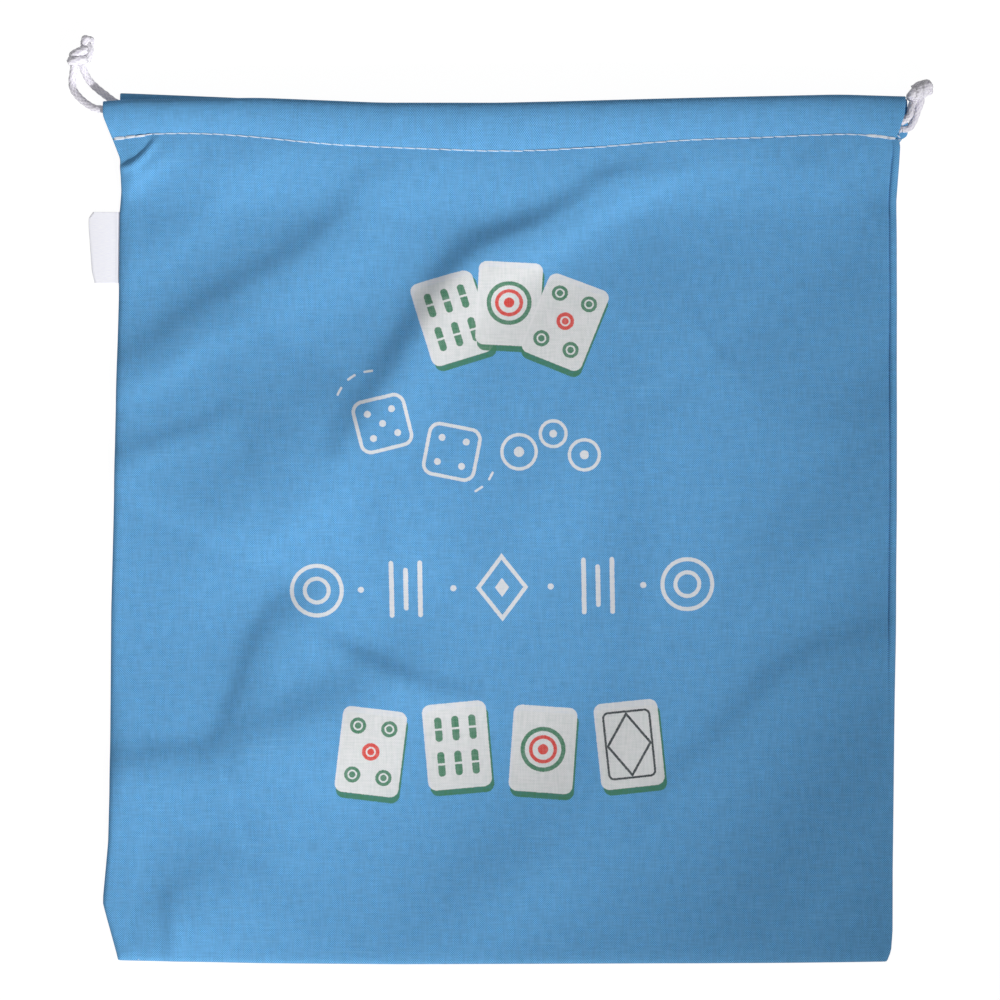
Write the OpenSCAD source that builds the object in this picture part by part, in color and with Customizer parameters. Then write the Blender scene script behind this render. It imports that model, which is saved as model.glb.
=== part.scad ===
// Cloth drawstring bag for game tiles, lying flat on its back panel.
// +X is to the right of the bag, +Y runs towards its mouth, +Z is up.
// The origin is the middle of the back panel's flat underside.

/* [Bag] */
// Width between the lower side edges
bag_w = 334; // [240:1:420]
// Height from the bottom edge to the back top fold
bag_h = 367; // [260:1:460]
// Thickness of the woven cloth
cloth_t = 0.5; // [0.3:0.05:0.8]
// How far the front panel bulges over the middle of the bag
body_loft = 9; // [4:0.5:20]
// How far the left edge leans in towards the mouth
left_lean = 7.5; // [0:0.5:14]
// How far the right edge leans out towards the mouth
right_lean = 1; // [0:0.5:6]
// Width of the blunt lower left corner
left_corner_w = 6; // [0:0.5:15]
// Height of the blunt lower left corner
left_corner_h = 26; // [5:1:50]
// Width of the blunt lower right corner
right_corner_w = 3; // [0:0.5:15]
// Height of the blunt lower right corner
right_corner_h = 16; // [5:1:50]

/* [Cord channels] */
// Depth of the back channel, from its top fold to its stitch line
hem_depth = 18.5; // [14:0.5:30]
// How far the front top fold lies below the back one
front_drop = 3; // [0:0.5:5]
// Width of cloth left below each stitch line on the inside
turn_lip = 3; // [1:0.5:6]
// Gap between the two channels at the sides of the mouth
mouth_side_gap = 0.5; // [0.3:0.1:3]
// How much wider the mouth gapes in its middle
mouth_lift = 5; // [4:0.5:12]
// Flare of the front channel past the seam at the left
front_flare_left = 7; // [0:0.5:12]
// Flare of the front channel past the seam at the right
front_flare_right = 4; // [0:0.5:12]
// Flare of the back channel past the seam at the right
back_flare_right = 5; // [0:0.5:12]

/* [Drawcord] */
// Diameter of the braided cord
cord_d = 3; // [2:0.1:4]
// Clearance round the cord in its channel
cord_clear = 0.3; // [0.2:0.05:1.2]
// How far the drawcord slides through its channels
cord_travel = 12; // [4:1:16]
// Width of the left knot
left_knot_w = 9.6; // [7:0.1:14]
// Width of the right knot
right_knot_w = 10.2; // [7:0.1:14]
// Length of each knot along the cord
knot_l = 8.4; // [7:0.1:12]
// Height of each knot
knot_h = 8; // [7:0.1:12]
// Length of the cut cord ends past the left knot
left_end_l = 5; // [1:0.5:20]
// Length of the cut cord ends past the right knot
right_end_l = 2; // [1:0.5:20]

/* [Care label] */
// Width of the folded ribbon along the seam
label_w = 30; // [15:1:45]
// How far the label reaches out of the seam
label_out = 13.5; // [8:0.5:30]
// Thickness of the folded ribbon
label_t = 0.5; // [0.3:0.05:1]
// Distance from the channels' stitch line down to the label's upper edge
label_drop = 31; // [25:1:60]
// Distance from the bag's edge to the crease that the label turns on
label_crease = 1.5; // [1:0.1:4]

/* [Stitching] */
// Distance from one stitch to the next
stitch_pitch = 5; // [2:0.1:7]
// Gap between two stitches
stitch_gap = 0.7; // [0.3:0.1:1.5]
// Thickness of the sewing thread
thread_d = 0.3; // [0.2:0.05:0.6]
// Length of the left backtack on the front channel
left_tack_l = 16; // [5:1:30]
// Length of the right backtack on the front channel
right_tack_l = 13; // [5:1:30]
// Width of the seam allowance inside the bag
seam_w = 9; // [5:0.5:15]
// Width of the overlocked edge
overlock_w = 3.5; // [2:0.5:4.5]

/* [Hidden] */

cloth_blue = "#549bd0";
cloth_shade = "#4f94c8";
cord_white = "#f0eff2";
thread_white = "#e6eef6";
label_white = "#f3f3f5";

// Clearances
layer_gap = 0.05;                 // between two cloth layers that lie on each other
seam_gap = 0.1;                   // between the panels at their seam
thread_gap = 0.03;                // between a thread and the cloth under it
inner_clear = 0.3;                // over the seam allowances
cord_gap = 0.1;                   // between two lengths of cord, or a cord and its knot
knot_side_gap = 0.3;              // between the right knot and the bag's edge
crease_gap = 0.5;                 // between the label and its sewn root
floor_gap = 0.05;                 // under a knot
side_in = 0.5;                    // inner layer of the front channel, from the outer one's sides

// Places along Y
bottom_y = -bag_h / 2;
back_top_y = bag_h / 2;
front_top_y = back_top_y - front_drop;
stitch_y = back_top_y - hem_depth;
ramp_h = 14;                      // stretch over which the front panel climbs onto the channel
seam_top_y = stitch_y - turn_lip - ramp_h;
label_y = stitch_y - label_drop - label_w / 2;

// Side edges as [y, x] corners, from the bottom to the mouth
half_w = bag_w / 2;
left_seam_x = -half_w + left_lean;
right_seam_x = half_w + right_lean;
flare_h = 12;                     // stretch below the stitch line over which the sides flare
flare_start_y = stitch_y - flare_h;
corner_step = 4;                  // rise of the back panel's step beside the right opening
left_side = [
    [bottom_y, -half_w + left_corner_w],
    [bottom_y + left_corner_h, -half_w],
    [flare_start_y, left_seam_x]
];
right_side = [
    [bottom_y, half_w - right_corner_w],
    [bottom_y + right_corner_h, half_w],
    [flare_start_y, right_seam_x]
];
front_left = concat(left_side, [[front_top_y, left_seam_x - front_flare_left]]);
front_right = concat(right_side, [[stitch_y, right_seam_x], [front_top_y, right_seam_x + front_flare_right]]);
back_left = concat(left_side, [[back_top_y, left_seam_x]]);
back_right = concat(right_side, [
    [stitch_y - corner_step, right_seam_x],
    [stitch_y, right_seam_x + back_flare_right],
    [back_top_y, right_seam_x + back_flare_right]
]);
back_right_x = right_seam_x + back_flare_right;

function left_x(y) = lookup(y, front_left);
function right_x(y) = lookup(y, front_right);

// Seam allowances: two layers of cloth, a thread on them and some air
channel_z = cloth_t + layer_gap;  // top of the back panel, with its gap
allowance_h = 2 * cloth_t;
allowance_top = channel_z + allowance_h;
seam_h = allowance_h + thread_d + inner_clear;
edge_r = 0.8;                     // roundness of the rolled edge
allowance_in = 1.5;               // from the edge to the seam allowance
thread_in = 2.8;                  // from the edge to the seam's stitches

function smooth(k) = let (c = max(0, min(1, k))) c * c * (3 - 2 * c);
function rise(d) = 1 - exp(-max(0, d) / edge_r);
function arch(k) = 1 - pow(abs(2 * k - 1), 6);
function crown(u) = pow(max(0, 1 - u * u), 1.5);

// Heights of the channels. The front one is higher, because its cord slides along a bow,
// whose steepest rise is 1.5 times its height over half its width.
hem_left_x = left_x(stitch_y);
hem_right_x = right_x(stitch_y);
bow_slope = 1.5 * mouth_lift / ((hem_right_x - hem_left_x) / 2);
back_channel_h = cord_d + 2 * cord_clear;
front_channel_h = back_channel_h + 2 * cord_travel * bow_slope;
back_sleeve_top = channel_z + back_channel_h + cloth_t;

// Underside of the front channel's inner layer, bowed up in the middle of the mouth
function hem_u(x) = (2 * x - hem_left_x - hem_right_x) / (hem_right_x - hem_left_x);
function turn_under(x) = back_sleeve_top + mouth_side_gap + mouth_lift * crown(hem_u(x));

// The front panel lies over the label's sewn root with a low bump
bump_out = 4;                     // stretch over which the bump fades above and below the label
bump_in = 6;                      // distance in which it fades towards the bag's middle
function label_bump(x, y) =
    (label_t + layer_gap) * smooth((label_w / 2 + bump_out - abs(y - label_y)) / bump_out)
    * exp(-max(0, x - left_x(y)) / bump_in);

// Underside of the front panel between its edges and the stitch line
function body_under(x, y) =
    let (
        l = left_x(y), r = right_x(y),
        u = (2 * x - l - r) / (r - l),
        d = min(x - l, r - x),
        w = min(1, (y - bottom_y) / (stitch_y - bottom_y))
    )
    cloth_t + seam_gap + seam_h * rise(d) * rise(y - bottom_y)
    + body_loft * crown(u) * (1 - pow(1 - w, 3)) + label_bump(x, y);

// Underside of the front panel, which climbs onto the channel and arches over the cord
function front_under(x, y) =
    let (
        hem = turn_under(x) + cloth_t + layer_gap,
        k = smooth((y - seam_top_y) / ramp_h),
        t = (y - stitch_y) / (front_top_y - stitch_y)
    )
    y > stitch_y ? hem + front_channel_h * arch(t) : (1 - k) * body_under(x, y) + k * hem;
function front_top(x, y) = front_under(x, y) + cloth_t;

// Closed sheet over a grid: xs(y) gives a row's x values, low and high its two faces
module sheet(ys, xs, low, high) {
    nx = len(xs(ys[0]));
    ny = len(ys);
    n = nx * ny;
    grid = [for (y = ys) for (x = xs(y)) [x, y]];
    points = concat(
        [for (p = grid) [p[0], p[1], low(p[0], p[1])]],
        [for (p = grid) [p[0], p[1], high(p[0], p[1])]]
    );
    quads = concat(
        [for (j = [0:ny - 2]) for (i = [0:nx - 2]) let (a = j * nx + i) [a, a + 1, a + nx + 1, a + nx]],
        [for (j = [0:ny - 2]) for (i = [0:nx - 2]) let (a = n + j * nx + i) [a, a + nx, a + nx + 1, a + 1]],
        [for (i = [0:nx - 2]) [i, n + i, n + i + 1, i + 1]],
        [for (i = [0:nx - 2]) let (a = (ny - 1) * nx + i) [a, a + 1, n + a + 1, n + a]],
        [for (j = [0:ny - 2]) let (a = j * nx) [a, a + nx, n + a + nx, n + a]],
        [for (j = [0:ny - 2]) let (a = j * nx + nx - 1) [a, n + a, n + a + nx, a + nx]]
    );
    polyhedron(points, [for (q = quads) each [[q[0], q[1], q[2]], [q[0], q[2], q[3]]]]);
}

function sorted(v) = len(v) < 2 ? v : concat(
    sorted([for (a = v) if (a < v[0]) a]), [v[0]], sorted([for (a = v) if (a > v[0]) a]));

// Rows and columns of the front panel, closer together at its edges, label and channel
edge_steps = [0, 0.6, allowance_in, 4, 12];
middle_columns = 11;
function panel_xs(y) =
    let (l = left_x(y), r = right_x(y), e = edge_steps[4])
    concat(
        [for (d = edge_steps) l + d],
        [for (i = [1:middle_columns]) l + e + (r - l - 2 * e) * i / (middle_columns + 1)],
        [for (i = [4:-1:0]) r - edge_steps[i]]
    );
label_rows = [for (s = [-1, 1]) for (d = [0, bump_out]) label_y + s * (label_w / 2 + d)];
body_rows = concat(
    [for (d = edge_steps) bottom_y + d],
    [bottom_y + right_corner_h, bottom_y + left_corner_h],
    [for (k = [0.15, 0.27, 0.4, 0.52, 0.64]) bottom_y + bag_h * k],
    label_rows
);
climb_rows = [for (k = [0, 0.25, 0.5, 0.75, 1]) seam_top_y + ramp_h * k];
arch_rows = [for (k = [0, 0.03, 0.08, 0.16, 0.3, 0.5, 0.7, 0.84, 0.92, 0.97, 1])
    stitch_y + (front_top_y - stitch_y) * k];

module outline(left, right) {
    polygon(concat(
        [for (p = left) [p[1], p[0]]],
        [for (i = [len(right) - 1:-1:0]) [right[i][1], right[i][0]]]
    ));
}

module back_panel() {
    color(cloth_blue) linear_extrude(cloth_t) outline(back_left, back_right);
}

module front_panel() {
    color(cloth_blue) sheet(
        sorted(concat(body_rows, climb_rows, arch_rows)),
        function (y) panel_xs(y),
        function (x, y) front_under(x, y),
        function (x, y) front_top(x, y)
    );
}

// Inner layer of the back channel, arched over the cord
module back_hem_turn() {
    steps = [0, 0.02, 0.05, 0.1, 0.16, 0.25, 0.5, 0.75, 0.84, 0.9, 0.95, 0.98, 1];
    curve = concat(
        [[stitch_y - turn_lip, channel_z]],
        [for (k = steps) [stitch_y + hem_depth * k, channel_z + back_channel_h * arch(k)]]
    );
    back = [for (i = [len(curve) - 1:-1:0]) curve[i] + [0, cloth_t]];
    color(cloth_blue)
        translate([left_seam_x, 0, 0]) rotate([90, 0, 90])
            linear_extrude(back_right_x - left_seam_x) polygon(concat(curve, back));
}

// Inner layer of the front channel, on which the front cord lies
module front_hem_turn() {
    columns = 24;
    color(cloth_shade) sheet(
        [stitch_y - turn_lip, stitch_y, front_top_y],
        function (y) [for (i = [0:columns])
            left_x(y) + side_in + (right_x(y) - left_x(y) - 2 * side_in) * i / columns],
        function (x, y) turn_under(x),
        function (x, y) turn_under(x) + cloth_t
    );
}

// Strip of seam allowance along a side edge; sign is 1 for the left one
module side_allowance(side, sign) {
    low_y = bottom_y + allowance_in;
    ys = [low_y, side[1][0], seam_top_y];
    color(cloth_blue) translate([0, 0, channel_z]) linear_extrude(allowance_h) polygon(concat(
        [for (y = ys) [lookup(y, side) + sign * allowance_in, y]],
        [for (i = [2:-1:0]) [lookup(ys[i], side) + sign * (allowance_in + seam_w), ys[i]]]
    ));
}

module left_seam_allowance() { side_allowance(front_left, 1); }
module right_seam_allowance() { side_allowance(front_right, -1); }

corner_gap = 1;                   // between two seam allowances at a lower corner
bottom_left_x = left_side[1][1] + left_corner_w + allowance_in + seam_w + corner_gap;
bottom_right_x = right_side[1][1] - right_corner_w - allowance_in - seam_w - corner_gap;
module bottom_seam_allowance() {
    color(cloth_blue)
        translate([bottom_left_x, bottom_y + allowance_in, channel_z])
            cube([bottom_right_x - bottom_left_x, seam_w, allowance_h]);
}

// Row of stitches from a to b, each a short flat length of thread
module stitch_row(a, b, width = 2 * thread_d) {
    run = b - a;
    length = norm(run);
    count = floor(length / stitch_pitch);
    start = (length - count * stitch_pitch) / 2;
    tilt = asin(run[2] / length);
    color(thread_white) translate(a) rotate([0, -tilt, atan2(run[1], run[0])])
        for (i = [0:count - 1])
            translate([start + stitch_pitch * i + stitch_gap / 2, -width / 2, 0])
                cube([stitch_pitch - stitch_gap, width, thread_d]);
}

seam_thread_z = allowance_top + thread_gap;
function side_point(side, sign, y, in) = [lookup(y, side) + sign * in, y, seam_thread_z];
module left_seam_stitching() {
    stitch_row(
        side_point(front_left, 1, bottom_y + left_corner_h, thread_in),
        side_point(front_left, 1, seam_top_y, thread_in)
    );
}
module right_seam_stitching() {
    stitch_row(
        side_point(front_right, -1, bottom_y + right_corner_h, thread_in),
        side_point(front_right, -1, seam_top_y, thread_in)
    );
}
module bottom_seam_stitching() {
    stitch_row(
        [bottom_left_x, bottom_y + thread_in, seam_thread_z],
        [bottom_right_x, bottom_y + thread_in, seam_thread_z]
    );
}

// Overlock thread over the raw edge of a side allowance
module side_overlock(side, sign) {
    low_y = bottom_y + seam_w + 2 * allowance_in;
    ys = sorted([low_y, max(low_y, side[1][0]), seam_top_y]);
    far = allowance_in + seam_w;
    color(thread_white) translate([0, 0, seam_thread_z]) linear_extrude(thread_d) polygon(concat(
        [for (y = ys) [lookup(y, side) + sign * (far - overlock_w), y]],
        [for (i = [len(ys) - 1:-1:0]) [lookup(ys[i], side) + sign * far, ys[i]]]
    ));
}
module left_overlock() { side_overlock(front_left, 1); }
module right_overlock() { side_overlock(front_right, -1); }
module bottom_overlock() {
    color(thread_white)
        translate([bottom_left_x, bottom_y + allowance_in + seam_w - overlock_w, seam_thread_z])
            cube([bottom_right_x - bottom_left_x, overlock_w, thread_d]);
}

// Stitches of the front channel lie on the bowed hem, between the two backtacks
hem_thread_y = stitch_y - 2 * thread_d;
hem_tack_in = 1.5;                // from the hem's side to the backtack
hem_columns = [for (x = panel_xs(stitch_y)) [x, front_top(x, stitch_y)]];
function hem_point(x) = [x, hem_thread_y, lookup(x, hem_columns) + thread_gap];
module hem_thread(x1, x2, width, height) {
    a = hem_point(x1);
    b = hem_point(x2);
    color(thread_white) translate(a) rotate([0, -atan2(b[2] - a[2], x2 - x1), 0])
        translate([0, -width / 2, 0]) cube([norm(b - a), width, height]);
}
module front_hem_stitching() {
    left = hem_left_x + hem_tack_in + left_tack_l;
    right = hem_right_x - hem_tack_in - right_tack_l;
    count = floor((right - left) / stitch_pitch);
    pitch = (right - left) / count;
    for (i = [0:count - 1])
        hem_thread(left + pitch * i + stitch_gap, left + pitch * (i + 1), 2 * thread_d, thread_d);
}
tack_w = 3.5 * thread_d;
tack_h = 2 * thread_d;
module front_left_backtack() {
    x = hem_left_x + hem_tack_in;
    hem_thread(x, x + left_tack_l, tack_w, tack_h);
}
module front_right_backtack() {
    x = hem_right_x - hem_tack_in;
    hem_thread(x - right_tack_l + stitch_gap, x, tack_w, tack_h);
}

// Stitches of the back channel, on the lip of its inner layer
module back_hem_stitching() {
    z = channel_z + cloth_t + thread_gap;
    stitch_row([left_seam_x + hem_tack_in, hem_thread_y, z], [back_right_x - hem_tack_in, hem_thread_y, z]);
}

// Edge stitches beside the two side openings of the back channel
slit_in = 2;                      // from the side of the back channel to its edge stitches
slit_low = 0.3;                   // the row's ends as shares of the channel's depth
slit_high = 0.7;
module slit_row(x) {
    z = back_sleeve_top + thread_gap;
    stitch_row([x, stitch_y + hem_depth * slit_low, z], [x, stitch_y + hem_depth * slit_high, z]);
}
module left_slit_stitching() { slit_row(left_seam_x + slit_in); }
module right_slit_stitching() { slit_row(back_right_x - slit_in); }

// Care label: a folded ribbon, creased where it leaves the seam
label_z = channel_z;
label_edge_x = left_x(label_y);
crease_x = label_edge_x - label_crease;
label_root_in = 1;                // how far the sewn root reaches past the bag's edge
label_top_cut = [2, 2.5];         // slanted upper corner, and a longer lower one
label_low_cut = [1.5, 5.5];
label_foot_in = 3;                // from the tip to the lower corner
module care_label() {
    tip = label_out - label_crease;
    high = label_w / 2;
    color(label_white) translate([crease_x, label_y, label_z]) linear_extrude(label_t) polygon([
        [0, high], [label_top_cut[0] - tip, high], [-tip, high - label_top_cut[1]],
        [label_low_cut[0] - tip, label_low_cut[1] - high], [label_foot_in - tip, -high], [0, -high]
    ]);
}
module care_label_root() {
    color(label_white) translate([crease_x + crease_gap, label_y - label_w / 2, label_z])
        cube([label_crease - crease_gap + label_root_in, label_w, label_t]);
}

// Tube along points, each ring square to the path
cord_sides = 8;
function unit(v) = v / norm(v);
function heading(path, i) =
    unit(path[min(i + 1, len(path) - 1)] - path[max(i - 1, 0)]);
module tube(path, d, first = undef, last = undef) {
    n = len(path);
    rings = [for (i = [0:n - 1])
        let (
            t = (i == 0 && !is_undef(first)) ? first
                : (i == n - 1 && !is_undef(last)) ? last : heading(path, i),
            side = unit(cross([0, 0, 1], t)),
            up = cross(t, side)
        )
        for (k = [0:cord_sides - 1])
            let (a = (k + 0.5) * 360 / cord_sides)
            path[i] + (side * cos(a) + up * sin(a)) * d / 2 / cos(180 / cord_sides)];
    walls = [for (i = [0:n - 2]) for (k = [0:cord_sides - 1])
        let (a = i * cord_sides + k, b = i * cord_sides + (k + 1) % cord_sides)
        each [[a, a + cord_sides, b], [b, a + cord_sides, b + cord_sides]]];
    start = [for (k = [1:cord_sides - 2]) [0, k, k + 1]];
    base = (n - 1) * cord_sides;
    finish = [for (k = [1:cord_sides - 2]) [base, base + k + 1, base + k]];
    polyhedron(rings, concat(walls, start, finish));
}

// Smooth path through chosen points, with a few steps between each two
function between(p, i, k) =
    let (
        a = p[max(i - 1, 0)], b = p[i], c = p[i + 1], e = p[min(i + 2, len(p) - 1)],
        k2 = k * k, k3 = k2 * k
    )
    0.5 * ((2 * b) + (c - a) * k + (2 * a - 5 * b + 4 * c - e) * k2 + (3 * b - a - 3 * c + e) * k3);
function through(p, steps) = concat(
    [for (i = [0:len(p) - 2]) for (s = [0:steps - 1]) between(p, i, s / steps)],
    [p[len(p) - 1]]
);

// Each cord lies straight across its channel, at these shares of the channel's depth
front_depth = front_top_y - stitch_y;
front_cord_left_y = stitch_y + front_depth * 0.71;
front_cord_right_y = stitch_y + front_depth * 0.45;
back_cord_left_y = stitch_y + hem_depth * 0.79;
back_cord_right_y = stitch_y + hem_depth * 0.22;
mouth_in = 2.5;                   // from a channel's mouth to the end of the sliding cord
function front_cord_z(x) = turn_under(x) + cloth_t + layer_gap + front_channel_h / 2;
back_cord_z = channel_z + back_channel_h / 2;
front_cord_left_x = left_x(front_cord_left_y) + mouth_in;
front_cord_right_x = right_x(front_cord_right_y) - mouth_in;

// Starts of the four free strands
left_front_mouth = [front_cord_left_x, front_cord_left_y, front_cord_z(front_cord_left_x)];
right_front_mouth = [front_cord_right_x, front_cord_right_y, front_cord_z(front_cord_right_x)];
left_back_mouth = [left_seam_x + mouth_in, back_cord_left_y, back_cord_z];
right_back_mouth = [back_right_x - mouth_in, back_cord_right_y, back_cord_z];
function level(v) = unit([v[0], v[1], 0]);
front_run = level(right_front_mouth - left_front_mouth);
back_run = level(right_back_mouth - left_back_mouth);

module front_cord() {
    rings = 28;
    color(cord_white) tube(
        [for (i = [0:rings]) let (p = left_front_mouth + (right_front_mouth - left_front_mouth) * i / rings)
            [p[0], p[1], front_cord_z(p[0])]],
        cord_d, front_run, front_run
    );
}
module back_cord() {
    color(cord_white) translate(left_back_mouth)
        rotate([0, 90, atan2(back_run[1], back_run[0])])
            cylinder(d = cord_d, h = norm(right_back_mouth - left_back_mouth), $fn = 32);
}

// The left knot lies out beyond the bag's corner, the right one close beside its edge.
// Each is a tight lump, and its two strands enter its lower side.
left_knot_out = [9.9, 12.4];      // from the front channel's top left corner
left_knot_at = [
    front_left[3][1] - left_knot_out[0], back_top_y + left_knot_out[1], floor_gap
];
right_knot_at = [back_right_x + knot_side_gap + right_knot_w / 2, front_top_y, floor_gap];
left_entries = [-2.8, 0.8];       // where the front and the back strand enter, from the knot's middle
right_entries = [-3.5, -0.1];
module knot(at, w) {
    lobe = knot_h / 2;
    side_r = lobe * 0.8;
    face_w = w * 0.84;
    color(cord_white) translate(at) hull() {
        for (s = [-1, 1])
            translate([s * (w / 2 - side_r), side_r, lobe]) sphere(r = side_r, $fn = 20);
        translate([0, knot_l - lobe, lobe]) sphere(r = lobe, $fn = 24);
        translate([-face_w / 2, 0, lobe / 2]) cube([face_w, 1, lobe]);
    }
}
module left_knot() { knot(left_knot_at, left_knot_w); }
module right_knot() { knot(right_knot_at, right_knot_w); }

// Free strands: the first points are offsets from the channel's end, the others from the knot
function entry(at, aside) = at + [aside, -cord_gap, knot_h / 2];
function route(mouth, out, end, in) =
    concat([for (p = out) mouth + p], [for (p = in) end + p], [end]);
left_front_out = [[-cord_gap, 0, 0], [-4, 1, -0.5], [-7.5, 1.5, -2], [-11, 3.5, -3.5], [-14.5, 6.5, -5]];
left_front_in = [[-0.5, -10, -2.2], [-1, -6.5, -2.4], [-0.5, -3, -1.2]];
left_back_out = [[-cord_gap, 0, 0], [-3.2, -0.1, 0], [-6, 1.4, -0.2], [-9, 3.7, -0.5], [-12, 6, -0.7]];
left_back_in = [[3.2, -7, -2.2], [1, -3.5, -1.4]];
right_front_out = [[cord_gap, 0, 0], [3, 0, 0], [4.5, 1, -0.7]];
right_front_in = [[-1.3, -5, 3.4], [-0.8, -2.5, 2.5]];
right_back_out = [[cord_gap, 0, 0], [2.8, 0, 0], [4.5, 2.4, 0]];
right_back_in = [[-2, -6, -1.6], [-1, -3, -0.8]];

module strand(mouth, out, end, in, first) {
    color(cord_white) tube(through(route(mouth, out, end, in), 2), cord_d, first, [0, 1, 0]);
}
module left_front_strand() {
    strand(left_front_mouth, left_front_out, entry(left_knot_at, left_entries[0]), left_front_in, -front_run);
}
module left_back_strand() {
    strand(left_back_mouth, left_back_out, entry(left_knot_at, left_entries[1]), left_back_in, -back_run);
}
module right_front_strand() {
    strand(right_front_mouth, right_front_out, entry(right_knot_at, right_entries[0]), right_front_in, front_run);
}
module right_back_strand() {
    strand(right_back_mouth, right_back_out, entry(right_knot_at, right_entries[1]), right_back_in, back_run);
}

// The two cut ends of the cords leave each knot one over the other
module cord_ends(at, length, lean) {
    apart = cord_d / 2 + layer_gap;
    seat = knot_l + layer_gap + sin(lean) * cord_d / 2;
    color(cord_white) translate(at + [0, seat, knot_h / 2])
        for (s = [-1, 1]) translate([0, 0, s * apart]) rotate([-90, 0, -lean])
            cylinder(d = cord_d, h = length, $fn = 24);
}
left_end_lean = 28;
right_end_lean = 20;
module left_cord_ends() { cord_ends(left_knot_at, left_end_l, left_end_lean); }
module right_cord_ends() { cord_ends(right_knot_at, right_end_l, right_end_lean); }

back_panel();
front_panel();
back_hem_turn();
front_hem_turn();
left_seam_allowance();
right_seam_allowance();
bottom_seam_allowance();
left_seam_stitching();
right_seam_stitching();
bottom_seam_stitching();
left_overlock();
right_overlock();
bottom_overlock();
front_hem_stitching();
back_hem_stitching();
front_left_backtack();
front_right_backtack();
left_slit_stitching();
right_slit_stitching();
care_label();
care_label_root();
front_cord();
back_cord();
left_front_strand();
left_back_strand();
right_front_strand();
right_back_strand();
left_knot();
right_knot();
left_cord_ends();
right_cord_ends();
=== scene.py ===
import math

import bpy
import numpy as np
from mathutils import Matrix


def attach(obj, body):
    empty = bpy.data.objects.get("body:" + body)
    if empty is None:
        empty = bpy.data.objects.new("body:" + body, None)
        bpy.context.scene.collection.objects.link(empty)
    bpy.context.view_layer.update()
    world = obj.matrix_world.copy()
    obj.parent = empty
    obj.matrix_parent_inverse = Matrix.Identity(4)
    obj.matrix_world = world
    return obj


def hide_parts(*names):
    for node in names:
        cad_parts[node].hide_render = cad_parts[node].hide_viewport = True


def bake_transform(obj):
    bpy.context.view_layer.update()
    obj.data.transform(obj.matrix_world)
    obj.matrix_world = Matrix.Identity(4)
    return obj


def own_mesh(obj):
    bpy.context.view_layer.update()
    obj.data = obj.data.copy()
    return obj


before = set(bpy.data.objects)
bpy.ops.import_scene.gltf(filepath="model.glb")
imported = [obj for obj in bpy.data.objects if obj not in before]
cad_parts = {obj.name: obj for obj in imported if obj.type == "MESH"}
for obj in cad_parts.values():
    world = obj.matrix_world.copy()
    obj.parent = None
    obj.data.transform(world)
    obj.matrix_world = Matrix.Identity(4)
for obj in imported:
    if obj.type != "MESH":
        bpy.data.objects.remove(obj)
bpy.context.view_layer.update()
mm = 0.001

# The picture is 1000 units wide, each 0.4225 mm; level is the height at which that scale holds.
picture = {"units": 1000, "scale": 0.4225, "zeroX": 498.5, "zeroY": 529.0, "centreX": 0.63, "centreY": 12.25}
camera = {"lens": 200.0, "sensor": 36.0, "level": 3.0, "reach": 50}


def fromPicture(points):
    # picture units, right and down, to the bag's own millimetres
    p = np.array(points, float)
    return np.stack([p[..., 0] - picture["zeroX"], picture["zeroY"] - p[..., 1]], -1) * picture["scale"]


def makeCamera():
    data = bpy.data.cameras.new("camera")
    data.lens = camera["lens"]
    data.clip_end = camera["reach"]
    height = picture["units"] * picture["scale"] * camera["lens"] / camera["sensor"] + camera["level"]
    eye = bpy.data.objects.new("camera", data)
    eye.location = (picture["centreX"] * mm, picture["centreY"] * mm, height * mm)
    bpy.context.scene.collection.objects.link(eye)
    bpy.context.scene.camera = eye


makeCamera()
print("camera made")


# Shared shape tools

def smooth(k):
    # rises from 0 to 1 with level ends
    c = np.clip(k, 0, 1)
    return c * c * (3 - 2 * c)


def rising(value, start, length):
    # from 0 at the start to 1 a length further on
    return smooth((value - start) / length)


def falling(value, end, length):
    # from 1 down to 0 at the end, over a length
    return smooth((end - value) / length)


def throughPoints(points, count):
    # smooth line through chosen points: cubic pieces whose slopes come from the two neighbours
    p = np.array(points, float)
    ends = np.vstack([2 * p[0] - p[1], p, 2 * p[-1] - p[-2]])
    t = np.linspace(0, len(p) - 1, count)
    i = np.minimum(t.astype(int), len(p) - 2)
    k = (t - i)[:, None]
    a, b, c, d = ends[i], ends[i + 1], ends[i + 2], ends[i + 3]
    line = 0.5 * (2 * b + (c - a) * k + (2 * a - 5 * b + 4 * c - d) * k**2 + (3 * b - a - 3 * c + d) * k**3)
    return evenly(line, count)


def evenly(line, count):
    # the same line with its points at equal distances
    run = np.concatenate([[0], np.cumsum(np.linalg.norm(np.diff(line, axis=0), axis=1))])
    at = np.linspace(0, run[-1], count)
    return np.stack([np.interp(at, run, line[:, i]) for i in range(line.shape[1])], 1)


def softCurve(pairs, at, blur=0.0):
    # value looked up along chosen (place, value) pairs, averaged over a short stretch
    pairs = np.array(sorted(pairs), float)
    if blur == 0:
        return np.interp(at, pairs[:, 0], pairs[:, 1])
    steps = np.linspace(-1, 1, 9) * blur
    return sum(np.interp(at + s, pairs[:, 0], pairs[:, 1]) for s in steps) / len(steps)


def lengthOf(line):
    return float(np.linalg.norm(np.diff(line, axis=0), axis=1).sum())


def quads(rows, columns, first=0, around=False):
    # corner numbers of a grid of quads, closed round in its columns if asked
    last = columns if around else columns - 1
    j, i = np.meshgrid(np.arange(rows - 1), np.arange(last), indexing="ij")
    k = (i + 1) % columns
    a, b, c, d = j * columns + i, j * columns + k, (j + 1) * columns + k, (j + 1) * columns + i
    return (np.stack([a, b, c, d], -1).reshape(-1, 4) + first).tolist()


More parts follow.
